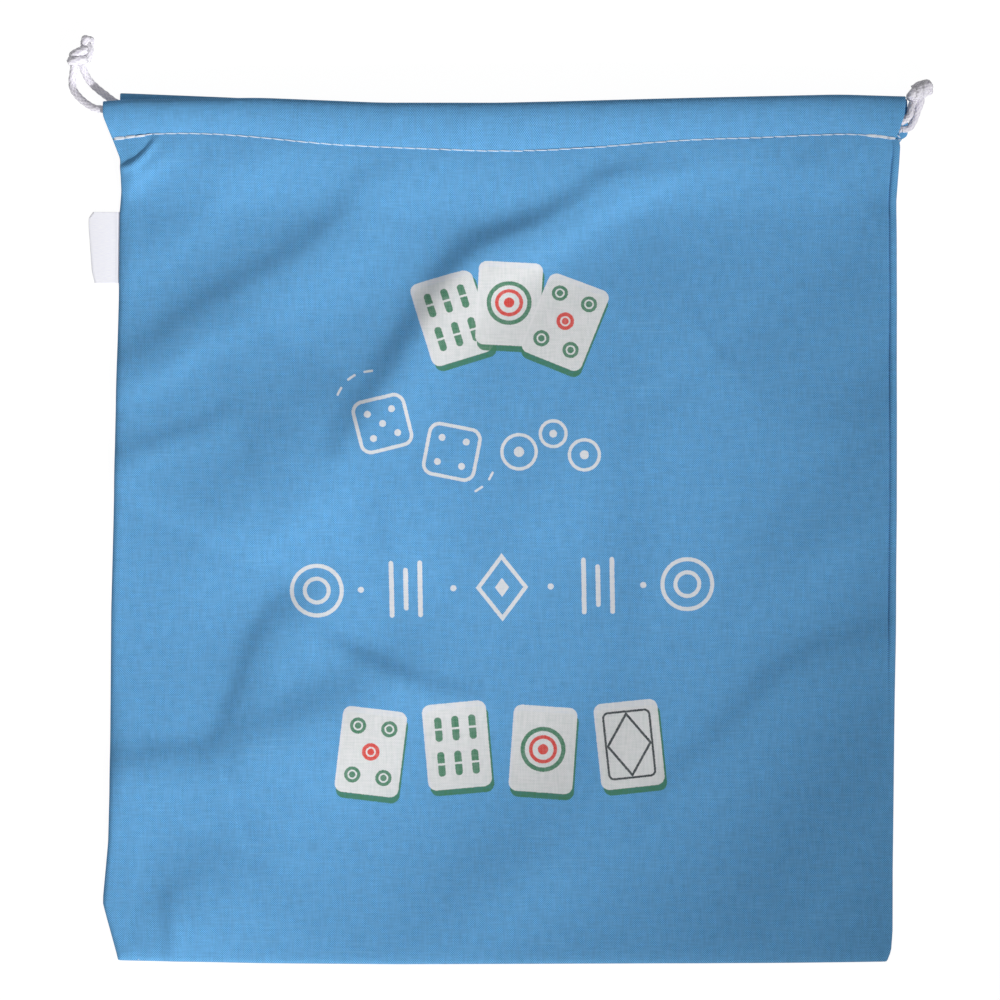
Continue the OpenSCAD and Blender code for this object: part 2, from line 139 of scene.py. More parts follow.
def makePiece(name, points, faces, material, uv=None, braidShade=None):
    mesh = bpy.data.meshes.new(name)
    mesh.from_pydata((np.asarray(points) * mm).tolist(), [], faces)
    mesh.polygons.foreach_set("use_smooth", [True] * len(mesh.polygons))
    # the braid's height on each point, which the cord material turns into painted shade in the gaps
    if braidShade is not None:
        layer = mesh.attributes.new("braid", "FLOAT", "POINT")
        layer.data.foreach_set("value", np.asarray(braidShade, np.float32))
    if uv is not None:
        corners = np.zeros(len(mesh.loops), np.int32)
        mesh.loops.foreach_get("vertex_index", corners)
        layer = mesh.uv_layers.new(name="cloth")
        layer.data.foreach_set("uv", np.asarray(uv, np.float32)[corners].ravel())
    mesh.materials.append(material)
    mesh.update()
    piece = bpy.data.objects.new(name, mesh)
    bpy.context.scene.collection.objects.link(piece)
    return piece


def gridNormals(grid):
    # cross product of the slopes along and across the grid
    n = np.cross(np.gradient(grid, axis=1), np.gradient(grid, axis=0))
    return n / np.maximum(np.linalg.norm(n, axis=-1, keepdims=True), 1e-9)


def clothShell(grid, thick, flip=1.0, edge=0.35):
    # closed sheet: the grid is one face, the other lies a thickness along the normals, pinched at the rim
    rows, columns, _ = grid.shape
    n = gridNormals(grid) * flip
    share = np.ones((rows, columns, 1))
    share[0], share[-1], share[:, 0], share[:, -1] = [1 - edge] * 4
    outer = grid + n * thick * share
    inner = grid + n * thick * (1 - share)
    points = np.concatenate([outer.reshape(-1, 3), inner.reshape(-1, 3)])
    half = rows * columns
    top = np.array(quads(rows, columns))
    under = top[:, ::-1] + half
    j, i = np.arange(rows - 1), np.arange(columns - 1)
    low, high = i, (rows - 1) * columns + i
    left, right = j * columns, j * columns + columns - 1
    rim = np.concatenate([
        np.stack([low + 1, low, low + half, low + 1 + half], 1),
        np.stack([high, high + 1, high + 1 + half, high + half], 1),
        np.stack([left, left + columns, left + columns + half, left + half], 1),
        np.stack([right + columns, right, right + half, right + columns + half], 1),
    ])
    faces = np.concatenate([top, under, rim])
    if flip < 0:
        faces = faces[:, ::-1]
    return points, faces.tolist()


def sheetPiece(name, grid, places, material, thick, flip, edge=0.35):
    # a closed sheet whose two faces share the flat places of its cloth
    points, faces = clothShell(grid, thick, flip, edge)
    return makePiece(name, points, faces, material, np.concatenate([places.reshape(-1, 2)] * 2))


def flatPlaces(grid, run):
    # flat cloth places for the weave and the print: across, and the length run from the bottom edge
    return np.stack([grid[..., 0], np.broadcast_to(run[:, None], grid.shape[:2])], -1)


def frameAlong(path, up=(0, 0, 1)):
    # side and upward direction at each point of a path, square to it
    ahead = np.gradient(path, axis=0)
    ahead /= np.linalg.norm(ahead, axis=1, keepdims=True)
    side = np.cross(np.array(up, float), ahead)
    side /= np.maximum(np.linalg.norm(side, axis=1, keepdims=True), 1e-9)
    return ahead, side, np.cross(ahead, side)


def tubeGrid(path, radius, sides, up=(0, 0, 1)):
    # rings of points square to the path; radius is a number or a ring-by-angle array
    ahead, side, rise = frameAlong(path, up)
    angle = np.arange(sides) * 2 * math.pi / sides
    r = np.broadcast_to(np.asarray(radius, float), (len(path), sides))
    return (path[:, None] + side[:, None] * (np.cos(angle) * r)[..., None]
            + rise[:, None] * (np.sin(angle) * r)[..., None])


def closedTube(rings, first=0):
    # points and faces of a tube with a middle point closing each end
    count, sides, _ = rings.shape
    points = np.concatenate([rings.reshape(-1, 3), rings[:1].mean(1), rings[-1:].mean(1)])
    i = np.arange(sides)
    k = (i + 1) % sides
    base = (count - 1) * sides
    tip = count * sides
    start = np.stack([i * 0 + tip, k, i], 1) + first
    finish = np.stack([i * 0 + tip + 1, base + i, base + k], 1) + first
    return points, quads(count, sides, first, True) + start.tolist() + finish.tolist()


def joined(parts):
    # several closed tubes as one list of points and faces
    points, faces, first = [], [], 0
    for rings in parts:
        p, f = closedTube(rings, first)
        points.append(p)
        faces += f
        first += len(p)
    return np.concatenate(points), faces


# Materials

def linear(red, green, blue):
    # a colour given as 0 to 255 on screen
    return [((c / 255 + 0.055) / 1.055) ** 2.4 if c > 10 else c / 3295 for c in (red, green, blue)] + [1.0]


class Nodes:
    # short names for the nodes of one material
    def __init__(self, tree):
        self.tree = tree

    def add(self, kind, inputs=(), out=0, **settings):
        node = self.tree.nodes.new(kind)
        for key, value in settings.items():
            setattr(node, key, value)
        for key, value in dict(inputs).items():
            socket = node.inputs[key]
            if isinstance(value, bpy.types.NodeSocket):
                self.tree.links.new(value, socket)
            else:
                socket.default_value = value
        return node.outputs[out]

    def sum(self, operation, a, b=0.0, c=0.0):
        return self.add("ShaderNodeMath", {0: a, 1: b, 2: c}, operation=operation)

    def clamped(self, a, low, high, to0=0.0, to1=1.0):
        return self.add("ShaderNodeMapRange", {0: a, 1: low, 2: high, 3: to0, 4: to1},
                        interpolation_type="SMOOTHSTEP")

    def vector(self, operation, a, b=(0, 0, 0), out=0):
        return self.add("ShaderNodeVectorMath", {0: a, 1: b}, out, operation=operation)

    def scaled(self, a, x, y, z=1.0):
        return self.vector("MULTIPLY", a, (x, y, z))

    def noise(self, place, scale, detail=2.0, rough=0.5):
        return self.add("ShaderNodeTexNoise", {"Vector": place, "Scale": scale, "Detail": detail,
                                               "Roughness": rough})

    def mixed(self, share, a, b, blend="MIX"):
        node = self.tree.nodes.new("ShaderNodeMix")
        node.data_type = "RGBA"
        node.blend_type = blend
        for socket, value in ((node.inputs[0], share), (node.inputs[6], a), (node.inputs[7], b)):
            if isinstance(value, bpy.types.NodeSocket):
                self.tree.links.new(value, socket)
            else:
                socket.default_value = value
        return node.outputs[2]


def newMaterial(name, roughness, sheen=0.0, specular=0.3):
    material = bpy.data.materials.new(name)
    material.use_nodes = True
    shader = material.node_tree.nodes["Principled BSDF"]
    shader.inputs["Roughness"].default_value = roughness
    shader.inputs["Sheen Weight"].default_value = sheen
    shader.inputs["Specular IOR Level"].default_value = specular
    return material, Nodes(material.node_tree), shader


weave = {"thread": 0.46, "wander": 1.6, "bump": 0.2, "cross": 0.42, "thickness": 0.28, "patch": 0.1,
         "slubs": 0.12, "relief": (0.5, 0.7)}
clothColour = {"base": (98, 162, 212), "slub": (140, 196, 232), "deep": 0.5, "pale": 1.5}


def weaveOf(n, place):
    # plain weave: product of two sines, one thread wide, with threads that wander and vary in thickness
    wander = n.noise(n.scaled(place, 0.05, 0.05), 1.0, 3.0)
    shift = n.scaled(n.add("ShaderNodeCombineXYZ", {0: wander, 1: wander}), weave["wander"], weave["wander"], 0)
    at = n.add("ShaderNodeSeparateXYZ", {0: n.vector("ADD", place, shift)}).node
    turn = math.pi / weave["thread"]
    across = n.sum("SINE", n.sum("MULTIPLY", at.outputs[0], turn))
    along = n.sum("SINE", n.sum("MULTIPLY", at.outputs[1], turn))
    cross = n.sum("MULTIPLY", across, along)
    weft = n.noise(n.scaled(place, 0.16, 1.25), 1.0, 1.5)       # threads across the bag
    warp = n.noise(n.scaled(place, 1.25, 0.13), 1.0, 1.5)       # threads up the bag
    patch = n.noise(n.scaled(place, 0.11, 0.11), 1.0, 4.0, 0.6)
    streak = n.sum("SUBTRACT", n.sum("ADD", weft, warp), 1.0)
    return cross, streak, n.sum("SUBTRACT", patch, 0.5)


def clothMaterial(name, printed=None):
    material, n, shader = newMaterial(name, 0.88, sheen=0.1, specular=0.15)
    place = n.add("ShaderNodeUVMap", uv_map="cloth")
    cross, streak, patch = weaveOf(n, place)
    tone = n.sum("MULTIPLY_ADD", cross, weave["cross"], 0.5)
    tone = n.sum("MULTIPLY_ADD", streak, weave["thickness"], tone)
    tone = n.sum("MULTIPLY_ADD", patch, weave["patch"], tone)
    base = linear(*clothColour["base"])[:3]
    deep, pale = ([clothColour[k] * c for c in base] + [1.0] for k in ("deep", "pale"))
    colour = n.mixed(tone, deep, pale)
    slub = n.noise(n.scaled(place, 0.025, 1.1), 1.0, 0.0)
    colour = n.mixed(n.clamped(slub, 0.74, 0.8, 0.0, weave["slubs"]), colour, linear(*clothColour["slub"]))
    if printed:
        colour = printed(n, place, colour, cross, streak)
    n.tree.links.new(colour, shader.inputs["Base Color"])
    height = n.sum("MULTIPLY_ADD", streak, weave["relief"][1], n.sum("MULTIPLY", cross, weave["relief"][0]))
    bump = n.add("ShaderNodeBump", {"Strength": 0.6, "Distance": weave["bump"] * mm, "Height": height})
    n.tree.links.new(bump, shader.inputs["Normal"])
    return material


# gaps: braid heights over which the painted shade in the strands' gaps gives way to the cord's colour, and how far
braidInfo = {"inside": 0.5, "insideMm": 1.0, "gaps": (0.3, 0.85, 0.7), "fibre": 0.3, "bump": 0.08}
labelSatin = {"low": (240, 240, 250), "high": (248, 248, 253), "pitch": 0.35, "bump": 0.04}


def braidMaterial(name, colour, shade, cord=False):
    # loose white fibres; on the cords the gaps between the strands are darker, as painted shade
    material, n, shader = newMaterial(name, 0.6, sheen=0.5, specular=0.35)
    place = n.scaled(n.add("ShaderNodeTexCoord", out=3), 1000, 1000, 1000)
    fibre = n.noise(place, 5.0, 3.0, 0.6)
    share = n.clamped(fibre, 0.3, 0.7)
    if cord:
        shader.inputs["Subsurface Weight"].default_value = braidInfo["inside"]
        shader.inputs["Subsurface Radius"].default_value = (1, 1, 1)
        shader.inputs["Subsurface Scale"].default_value = braidInfo["insideMm"] * mm
        # painted shade: where the braid lies low, between the strands, the colour moves to the darker one
        depth = n.add("ShaderNodeAttribute", out=2, attribute_name="braid")
        low, high, part = braidInfo["gaps"]
        share = n.sum("MULTIPLY", share, braidInfo["fibre"])
        share = n.sum("ADD", share, n.clamped(depth, low, high, 0.0, part))
    n.tree.links.new(n.mixed(share, linear(*shade), linear(*colour)), shader.inputs["Base Color"])
    bump = n.add("ShaderNodeBump", {"Strength": 0.5, "Distance": braidInfo["bump"] * mm, "Height": fibre})
    n.tree.links.new(bump, shader.inputs["Normal"])
    return material


def labelMaterial():
    material, n, shader = newMaterial("label_satin", 0.42, sheen=0.1, specular=0.4)
    place = n.add("ShaderNodeUVMap", uv_map="cloth")
    ribs = n.noise(n.scaled(place, 0.4, 6.0), 1.0, 2.0)
    colour = n.mixed(n.clamped(ribs, 0.3, 0.7), linear(*labelSatin["low"]), linear(*labelSatin["high"]))
    n.tree.links.new(colour, shader.inputs["Base Color"])
    at = n.add("ShaderNodeSeparateXYZ", {0: place})
    satin = n.sum("SINE", n.sum("MULTIPLY", at.node.outputs[1], 2 * math.pi / labelSatin["pitch"]))
    height = n.sum("ADD", satin, ribs)
    bump = n.add("ShaderNodeBump", {"Strength": 0.35, "Distance": labelSatin["bump"] * mm, "Height": height})
    n.tree.links.new(bump, shader.inputs["Normal"])
    return material


# the cord's colour, and the darker one for its darker fibres and for the painted shade in its gaps
cordMaterial = braidMaterial("cord_braid", (244, 241, 249), (218, 214, 227), True)
threadMaterial = braidMaterial("thread_cotton", (225, 238, 250), (205, 222, 240))
backtackMaterial = braidMaterial("thread_backtack", (240, 244, 250), (222, 230, 240))
plainCloth = clothMaterial("bag_cloth")
print("materials made")


# Cords: their routes are the ones of the CAD

cordInfo = {"d": 3.0, "full": 0.12, "strands": 6, "lay": 2.9, "relief": 0.28, "gap": 0.8,
            "step": 0.2, "sides": 48, "knotStep": 0.22, "knotSides": 40,
            "hiddenStep": 0.4, "hiddenSides": 32, "frontD": 2.7}
leftRoute = [
    (-162.956, 176.005, 8.045), (-166.856, 177.005, 7.545), (-170.356, 177.505, 6.045),
    (-173.856, 179.505, 4.545), (-177.356, 182.505, 3.045), (-179.7, 185.8, 1.85), (-180.2, 189.3, 1.65),
    (-179.7, 192.8, 2.85), (-179.2, 195.8, 4.05), (-178.6, 198.6, 4.6), (-177.2, 199.8, 4.8),
    (-175.9, 198.6, 4.6), (-175.6, 195.8, 4.05), (-174.6, 192.3, 2.65), (-172.4, 188.8, 1.85),
    (-169, 185.615, 1.65), (-166, 183.315, 1.85), (-163, 181.015, 2.15), (-160.2, 179.515, 2.35),
    (-157.1, 179.615, 2.35),
]
rightRoute = [
    (167.4, 171.975, 8.048), (170.3, 171.975, 8.048), (171.8, 172.975, 7.65), (173.0, 174.1, 7.5),
    (173.6, 175.4, 7.45), (174.1, 177.9, 6.55), (174.9, 180.4, 4.6), (175.7, 183.0, 4.3),
    (177.0, 184.6, 4.3), (178.2, 183.2, 4.2), (178.3, 180.4, 4.05), (177.3, 177.4, 3.25),
    (176.3, 174.4, 2.45), (175, 171.47, 2.35), (173.3, 169.4, 2.35), (170.6, 169.07, 2.35),
]


def braid(run, sides):
    # height of a braid from 0 to 1: two families of helices, each over the other in turn
    s = np.asarray(run)[:, None]
    a = np.arange(sides)[None] * 2 * math.pi / sides
    turn, climb = cordInfo["strands"] * a, 2 * math.pi * s / cordInfo["lay"]
    one, two = np.abs(np.cos((turn + climb) / 2)) ** 0.7, np.abs(np.cos((turn - climb) / 2)) ** 0.7
    over = 0.5 + 0.5 * np.cos(turn)
    return np.maximum(one * (0.4 + 0.6 * over), two * (0.4 + 0.6 * (1 - over)))


def braidedPiece(name, paths, sides):
    # tubes along (path, diameter, thickness along it, up), their radius raised by the braid
    rings, shade = [], []
    for path, d, shape, up in paths:
        run = np.concatenate([[0], np.cumsum(np.linalg.norm(np.diff(path, axis=0), axis=1))])
        height = braid(run, sides)
        radius = (d / 2 + cordInfo["relief"] * (1.25 * height - 1)) * np.asarray(shape)[..., None]
        rings.append(tubeGrid(path, radius, sides, up))
        # each point keeps the braid's height, from which the cord material paints shade into the gaps
        shade += [height.ravel(), [cordInfo["gap"]] * 2]            # the last two are the ends' middle points
    points, faces = joined(rings)
    return makePiece(name, points, faces, cordMaterial, braidShade=np.concatenate(shade))


def freeLoop(name, route):
    # a braided tube along a free cord's route, with its length and a short list of its points
    length = lengthOf(throughPoints(route, 400))
    path = throughPoints(route, int(length / cordInfo["step"]))
    piece = braidedPiece(name, [(path, cordInfo["d"] + cordInfo["full"], 1.0, (0, 0, 1))], cordInfo["sides"])
    return piece, length * mm, throughPoints(route, 28) * mm


leftLoop, leftLength, leftPath = freeLoop("left_cord_loop", leftRoute)
rightLoop, rightLength, rightPath = freeLoop("right_cord_loop", rightRoute)


def knotPiece(name, centre, wraps, lobes):
    # each wrap is part of a tilted ellipse: offset, half width, half depth, tilt, from, to, cord diameter
    paths = []
    for offset, wide, deep, tilt, start, end, d in wraps:
        a = np.radians(np.linspace(start, end, 60))
        t = math.radians(tilt)
        line = np.stack([np.cos(a) * wide * math.cos(t), np.cos(a) * wide * math.sin(t), np.sin(a) * deep], 1)
        paths.append((line + np.array(centre) + np.array(offset), d, (0.02, 1, 0.01)))
    for points, d in lobes:
        paths.append((throughPoints(np.array(points) + np.array(centre), 60), d, (0, 0.02, 1)))
    even = [(evenly(line, max(10, int(lengthOf(line) / cordInfo["knotStep"]))), d, 1.0, up)
            for line, d, up in paths]
    return braidedPiece(name, even, cordInfo["knotSides"])


leftKnotCentre = (-176.4, 200.0, 4.05)
leftKnot = knotPiece("left_knot_wraps", leftKnotCentre, [
    ((-0.8, -2.0, 0.0), 3.15, 2.3, 5, 0, 360, 4.0),
    ((-0.4, 1.2, 0.1), 2.9, 2.2, 24, 0, 360, 4.0),
], [
    ([(2.9, 4.6, 0.6), (3.9, 2.6, 1.0), (3.7, 0.2, 1.3), (2.6, -2.2, 1.2), (1.2, -3.8, 0.2)], 3.2),
    ([(-1.5, -1.8, 0), (0.6, 0.4, 0), (2.0, 2.6, 0)], 5.2),
])
rightKnotCentre = (178.4, 184.9, 4.05)
rightKnot = knotPiece("right_knot_wraps", rightKnotCentre, [
    ((-3.0, -0.9, 0.0), 1.9, 2.3, 50, 0, 360, 4.1),
    ((-0.8, -0.1, 0.2), 2.5, 2.4, 62, 0, 360, 4.1),
    ((1.6, 1.0, 0.0), 1.9, 2.1, 66, 0, 360, 4.6),
], [
    ([(-3.6, 0.9, 1.0), (-0.8, 2.7, 1.6), (2.2, 3.5, 1.0)], 2.8),
    ([(-2.6, -0.8, 0), (-0.6, 0, 0), (1.6, 0.9, 0)], 5.0),
])


def cutEnds(name, centre, ends):
    # cord ends side by side, their cut fibres swelling a little and rounded at the tip
    paths = []
    for start, direction, length, d in ends:
        k = np.linspace(0, 1, 34)
        ahead = np.array(direction) / np.linalg.norm(direction)
        path = np.array(centre) + np.array(start) + np.outer(k, ahead) * length
        bulge = 0.84 + 0.2 * smooth(k * 1.6)
        tip = np.sqrt(np.clip(1 - np.clip((k - 0.7) / 0.31, 0, 1) ** 2, 0.02, 1))
        paths.append((path, d, bulge * tip, (0.05, 0, 1)))
    return braidedPiece(name, paths, cordInfo["knotSides"])


leftEnds = cutEnds("left_cord_tips", leftKnotCentre, [
    ((1.3, 2.4, 0.4), (0.2, 1, 0.1), 6.2, 3.8), ((3.3, 2.2, -0.3), (0.13, 1, -0.1), 6.0, 3.8)])
rightEnds = cutEnds("right_cord_tips", rightKnotCentre, [
    ((1.0, 0.9, 0.6), (1, 0.6, 0.1), 4.4, 3.8), ((1.0, -0.4, -0.4), (1, 0.3, -0.1), 4.2, 3.8)])


def channelCord(name, route, d):
    # a coarser braided tube, for a cord that lies hidden in its channel
    length = lengthOf(throughPoints(route, 300))
    path = throughPoints(route, int(length / cordInfo["hiddenStep"]))
    return braidedPiece(name, [(path, d, 1.0, (0, 0, 1))], cordInfo["hiddenSides"])


# left and right: ends of the front channel's stitch line
mouth = {"left": -162.555, "right": 168.0, "side": 5.15, "lift": 5.0, "cloth": 0.5, "channel": 4.689,
         "play": 0.05}


def turnUnder(x):
    # underside of the front channel's inner layer: side height plus a crown over the mouth
    u = (2 * x - mouth["left"] - mouth["right"]) / (mouth["right"] - mouth["left"])
    return mouth["side"] + mouth["lift"] * np.maximum(0, 1 - u * u) ** 1.5


def frontCordRoute():
    # a line between the channel's ends that keeps to the channel's middle, and follows its crown
    x = np.linspace(-162.86, 167.3, 24)
    y = np.interp(x, x[[0, -1]], [leftRoute[0][1], rightRoute[0][1]])
    y += 2.2 * smooth((x - 40) / 60) * (1 - smooth((x - 140) / 27))
    return np.stack([x, y, turnUnder(x) + mouth["cloth"] + mouth["play"] + mouth["channel"] / 2], 1)


backCordRoute = [(-157, 179.615, 2.35), (-80, 177.1, 2.35), (0, 174.5, 2.35), (90, 171.6, 2.35),
                 (170.5, 169.07, 2.35)]
# the front cord lies a little thinner in its curved channel, so that it can run along it
frontCord = channelCord("front_channel_cord", frontCordRoute(), cordInfo["frontD"])
backCord = channelCord("back_channel_cord", backCordRoute, cordInfo["d"])
print("cords made")


# The bag's outline and surface

outline = {
    "left": [(-183.5, -160.7), (-182.1, -160.9), (-157.6, -167.1), (-132.2, -164.7), (-112, -164.1),
             (-34.2, -163.5), (1.7, -162.5), (45.2, -161.6), (96.8, -160.3), (133.9, -159.9),
             (142.8, -159.1), (153.4, -159.5)],
    "leftHem": [(156.3, -159.5), (174.9, -166.7), (181.0, -166.7)],
    "right": [(-183.5, 163.9), (-182.5, 164.3), (-179, 165.6), (-170.3, 166.2), (-142.8, 166.2),
              (-101.8, 166.7), (-34.2, 167.8), (96.8, 168.2), (139, 167.9), (161.8, 169.2)],
    "rightHem": [(164.3, 168.6), (165.7, 167.9), (167.9, 168.9), (173.3, 170.9), (177.0, 171.4),
                 (181.0, 171.7)],
    "backRight": [(164.5, 169.9), (166.2, 172.7), (168.2, 173.0), (183.5, 172.6)],
    "backLeft": [(164.0, -159.5), (184.0, -159.9)],
    "bottom": [(-168, -182.0), (-100, -183.2), (-42, -183.8), (85, -183.4), (164, -182.5)],
    "stitch": [(-163, 164.3), (-146, 166.9), (-122, 166.9), (-101, 165.2), (-72, 162.2), (-41, 160.6),
               (-7, 159.3), (14, 159.3), (44, 161), (56, 162.2), (85, 164.4), (105, 164.8), (129, 166),
               (151, 166.9), (167, 164.6)],
    "top": [(-167, 179.6), (-160, 180.6), (-101, 181.2), (-50, 179.0), (0, 178.9), (30, 179.6), (85, 181.2),
            (144, 182.7), (172, 181.9)],
    "backTop": [(-160, 183.8), (-113, 181.9), (-60, 178.9), (0, 178.2), (85, 180.4), (144, 181.9),
                (173, 181.2)],
}
cloth = {"thick": 0.5, "low": 0.6, "loft": 6.5, "ramp": 34.0, "seam": 1.6, "edge": 0.8, "bottomY": -183.5,
         "stitchY": 165.0, "frontHem": 15.5, "backHem": 18.5, "shift": (-160, 23)}

# Folds: points on the picture, slope and width in millimetres of the side that falls to the right of
# the line's direction.
folds = [
    ([(372, 140), (362, 160), (342, 197), (295, 243), (249, 272), (190, 303), (150, 335), (110, 355),
      (60, 372)], 0.22, 9),
    ([(87, 289), (126, 279), (169, 258), (207, 231), (241, 197), (276, 157), (291, 138)], 0.12, 9),
    ([(640, 140), (615, 155), (575, 183), (522, 213), (471, 237), (442, 270), (409, 325), (382, 368),
      (358, 405), (330, 450)], 0.45, 9),
    ([(371, 403), (342, 434), (296, 462), (255, 481)], 0.15, 26),
    ([(255, 481), (296, 462), (342, 434), (371, 403)], 0.12, 26),
    ([(500, 290), (560, 240), (620, 205), (680, 180), (740, 165)], 0.15, 5),
    ([(88, 201), (133, 189), (166, 170), (192, 152)], 0.25, 5),
    ([(82, 179), (125, 167), (154, 150), (178, 132)], 0.13, 12),
    ([(231, 405), (194, 426), (159, 436), (126, 451), (83, 463)], 0.2, 5),
    ([(80, 405), (125, 398), (165, 380), (205, 350), (245, 330)], 0.19, 5),
    ([(367, 468), (373, 502), (386, 549), (396, 587)], 0.26, 9),
    ([(330, 585), (295, 603), (269, 630), (249, 683), (229, 737), (202, 757), (135, 763),
      (70, 772)], 0.26, 14),
    ([(325, 574), (288, 593), (259, 624), (238, 679), (219, 731), (199, 746), (134, 751),
      (68, 760)], 0.21, 5),
    ([(396, 659), (357, 672), (304, 700), (255, 725), (231, 752)], 0.3, 15),
    ([(480, 690), (442, 685), (389, 665), (335, 638), (310, 610)], 0.4, 5),
    ([(935, 224), (893, 206), (869, 200), (837, 168), (808, 141)], 0.22, 9),
    ([(927, 431), (886, 421), (842, 407), (793, 358), (761, 317)], 0.13, 26),
    ([(690, 245), (650, 262), (630, 290), (600, 330)], 0.12, 26),
    ([(930, 480), (882, 497), (842, 523), (789, 550), (760, 585)], 0.12, 9),
    ([(770, 480), (810, 455), (850, 440), (890, 430), (930, 425)], 0.1, 9),
    ([(930, 612), (889, 622), (850, 635), (802, 650), (762, 677), (722, 723), (669, 772),
      (630, 830)], 0.24, 9),
    ([(920, 680), (865, 740), (812, 810), (765, 900), (715, 1000)], 0.12, 28),
    ([(630, 810), (580, 838), (530, 850), (480, 870), (430, 895)], 0.09, 15),
    ([(211, 840), (189, 886), (169, 946)], 0.12, 26),
    ([(191, 954), (211, 894), (233, 850)], 0.1, 15),
    ([(164, 895), (170, 968)], 0.31, 3),
    ([(618, 399), (624, 469), (627, 550), (624, 621), (618, 691)], 0.19, 15),
    ([(250, 566), (271, 528), (306, 500), (345, 481)], 0.22, 26),
    ([(340, 470), (300, 490), (262, 520), (240, 560)], 0.21, 15),
    ([(549, 555), (590, 474), (632, 412), (693, 370)], 0.15, 26),
    ([(693, 370), (632, 412), (590, 474), (549, 555)], 0.12, 26),
]
tuck = [([(158, 130), (153, 142), (146, 151.5), (135, 161.5), (124, 166), (112, 166), (96, 164)], 1.2, 0.95)]
# a fold's profile: where its top lies in widths to the left, how gentle that side is, its steepest
# slope for a height and width of one, and how soon its ends rise
foldShape = {"top": 0.8, "gentle": 1.9, "steepest": 0.84, "ends": 0.6}
waveHigh = 0.34
draw = np.random.default_rng(7)
waves = [(draw.uniform(0.5, 1.0), draw.uniform(38, 95), draw.uniform(15, 70), draw.uniform(0, 6.28))
         for _ in range(7)]


def foldHeight(x, y, lines):
    # each fold is a rounded ridge beside its line, gentle on the left and falling across the line
    total = np.zeros_like(x)
    for points, slope, width in lines:
        line = throughPoints(fromPicture(points), 18)
        best = np.full(x.shape, 1e9)
        signed = np.zeros_like(x)
        place = np.zeros_like(x)
        for i in range(len(line) - 1):
            a, d = line[i], line[i + 1] - line[i]
            size = np.hypot(*d)
            k = np.clip(((x - a[0]) * d[0] + (y - a[1]) * d[1]) / size**2, 0, 1)
            away = np.hypot(x - a[0] - k * d[0], y - a[1] - k * d[1])
            side = ((x - a[0]) * d[1] - (y - a[1]) * d[0]) / size
            near = away < best
            best = np.where(near, away, best)
            signed = np.where(near, side, signed)
            place = np.where(near, (i + k) / (len(line) - 1), place)
        fade = np.sin(math.pi * (place * 0.88 + 0.06)) ** foldShape["ends"]
        beyond = np.sqrt(np.maximum(best**2 - signed**2, 0)) / width
        q = signed / width + foldShape["top"]
        q = np.where(q < 0, q / foldShape["gentle"], q)
        total += slope * width / foldShape["steepest"] * np.exp(-q * q - beyond**2) * fade
    return total


# where the back panel stays flat: from a place below the mouth on, and round the label
flat = {"mouth": (115, 35), "labelX": -162, "labelReach": 16, "labelFrom": (88, 12), "labelTo": (150, 12)}


def swellShare(x, y):
    # how far the back panel and the seams lift with the folds: one, less the flat places
    label = np.exp(-(np.maximum(x - flat["labelX"], 0) / flat["labelReach"]) ** 2)
    label = label * rising(y, *flat["labelFrom"]) * falling(y, *flat["labelTo"])
    return (1 - rising(y, *flat["mouth"])) * (1 - label)


def swell(x, y):
    return foldHeight(x, y, folds) * swellShare(x, y)


def waveHeight(x, y):
    # sum of sines along lines that lean to the upper right: long soft waves
    total = 0
    for high, length, lean, start in waves:
        a = math.radians(lean)
        total = total + high * np.sin(2 * math.pi * (x * math.sin(a) - y * math.cos(a)) / length + start)
    return total * waveHigh


def wrinkle(x, y, seed, length, count=9, spread=70):
    # sum of sines in random directions, for small uneven puckers
    r = np.random.default_rng(seed)
    total = 0
    for _ in range(count):
        a, long, start = math.radians(r.uniform(-spread, spread)), length * r.uniform(0.6, 1.6), r.uniform(0, 6.28)
        total = total + np.sin(2 * math.pi * (x * math.cos(a) + y * math.sin(a)) / long + start)
    return total / count


def leftEdge(y):
    return softCurve(outline["left"] + outline["leftHem"], y, 1.2)


def rightEdge(y):
    return softCurve(outline["right"] + outline["rightHem"], y, 0.8)


def stitchLine(x):
    return softCurve(outline["stitch"], x, 9)


def topLine(x):
    return softCurve(outline["top"], x, 6)


def bottomShift(x, y):
    # how far the bottom edge's own line moves the cloth up or down, near that edge
    edge = softCurve(outline["bottom"], x, 4) - cloth["bottomY"]
    return edge * falling(y, *cloth["shift"])


def dropShape(angles):
    # share of a channel's depth and height of its outline at each angle: pinched at the stitches
    return (1 - np.cos(angles)) / 2, np.sin(angles) * np.sin(angles / 2) * 1.299


# height that the label needs below the front panel, with half its length and how soon it fades inwards
labelLift = {"high": 0.55, "y": 119, "half": (19, 4), "fade": 6}


def bodyUnder(x, y, left, right):
    # underside between the edges: a step over the seam allowances and a crown over the middle
    u = (2 * x - left - right) / (right - left)
    d = np.minimum(x - left, right - x)
    up = y - cloth["bottomY"]
    w = np.clip(up / (cloth["stitchY"] - cloth["bottomY"]), 0, 1)
    rise = (1 - np.exp(-np.maximum(d, 0) / cloth["edge"])) * (1 - np.exp(-up / cloth["edge"]))
    along = falling(np.abs(y - labelLift["y"]), *labelLift["half"])
    lift = labelLift["high"] * along * np.exp(-np.maximum(0, x - left) / labelLift["fade"])
    crown = np.maximum(0, 1 - u * u) ** 1.5 * (1 - (1 - w) ** 3)
    return cloth["low"] + cloth["seam"] * rise + cloth["loft"] * crown + lift


def spacedColumns(left, right, steps, count):
    # columns at the given steps from both edges and evenly spaced between
    first, last = np.array(steps[0]), np.array(steps[1])
    middle = np.arange(1, count)[None] / count
    span = (right - left - first[-1] - last[-1])[:, None]
    return np.concatenate([left[:, None] + first[None], left[:, None] + first[-1] + span * middle,
                           right[:, None] - last[None, ::-1]], 1)


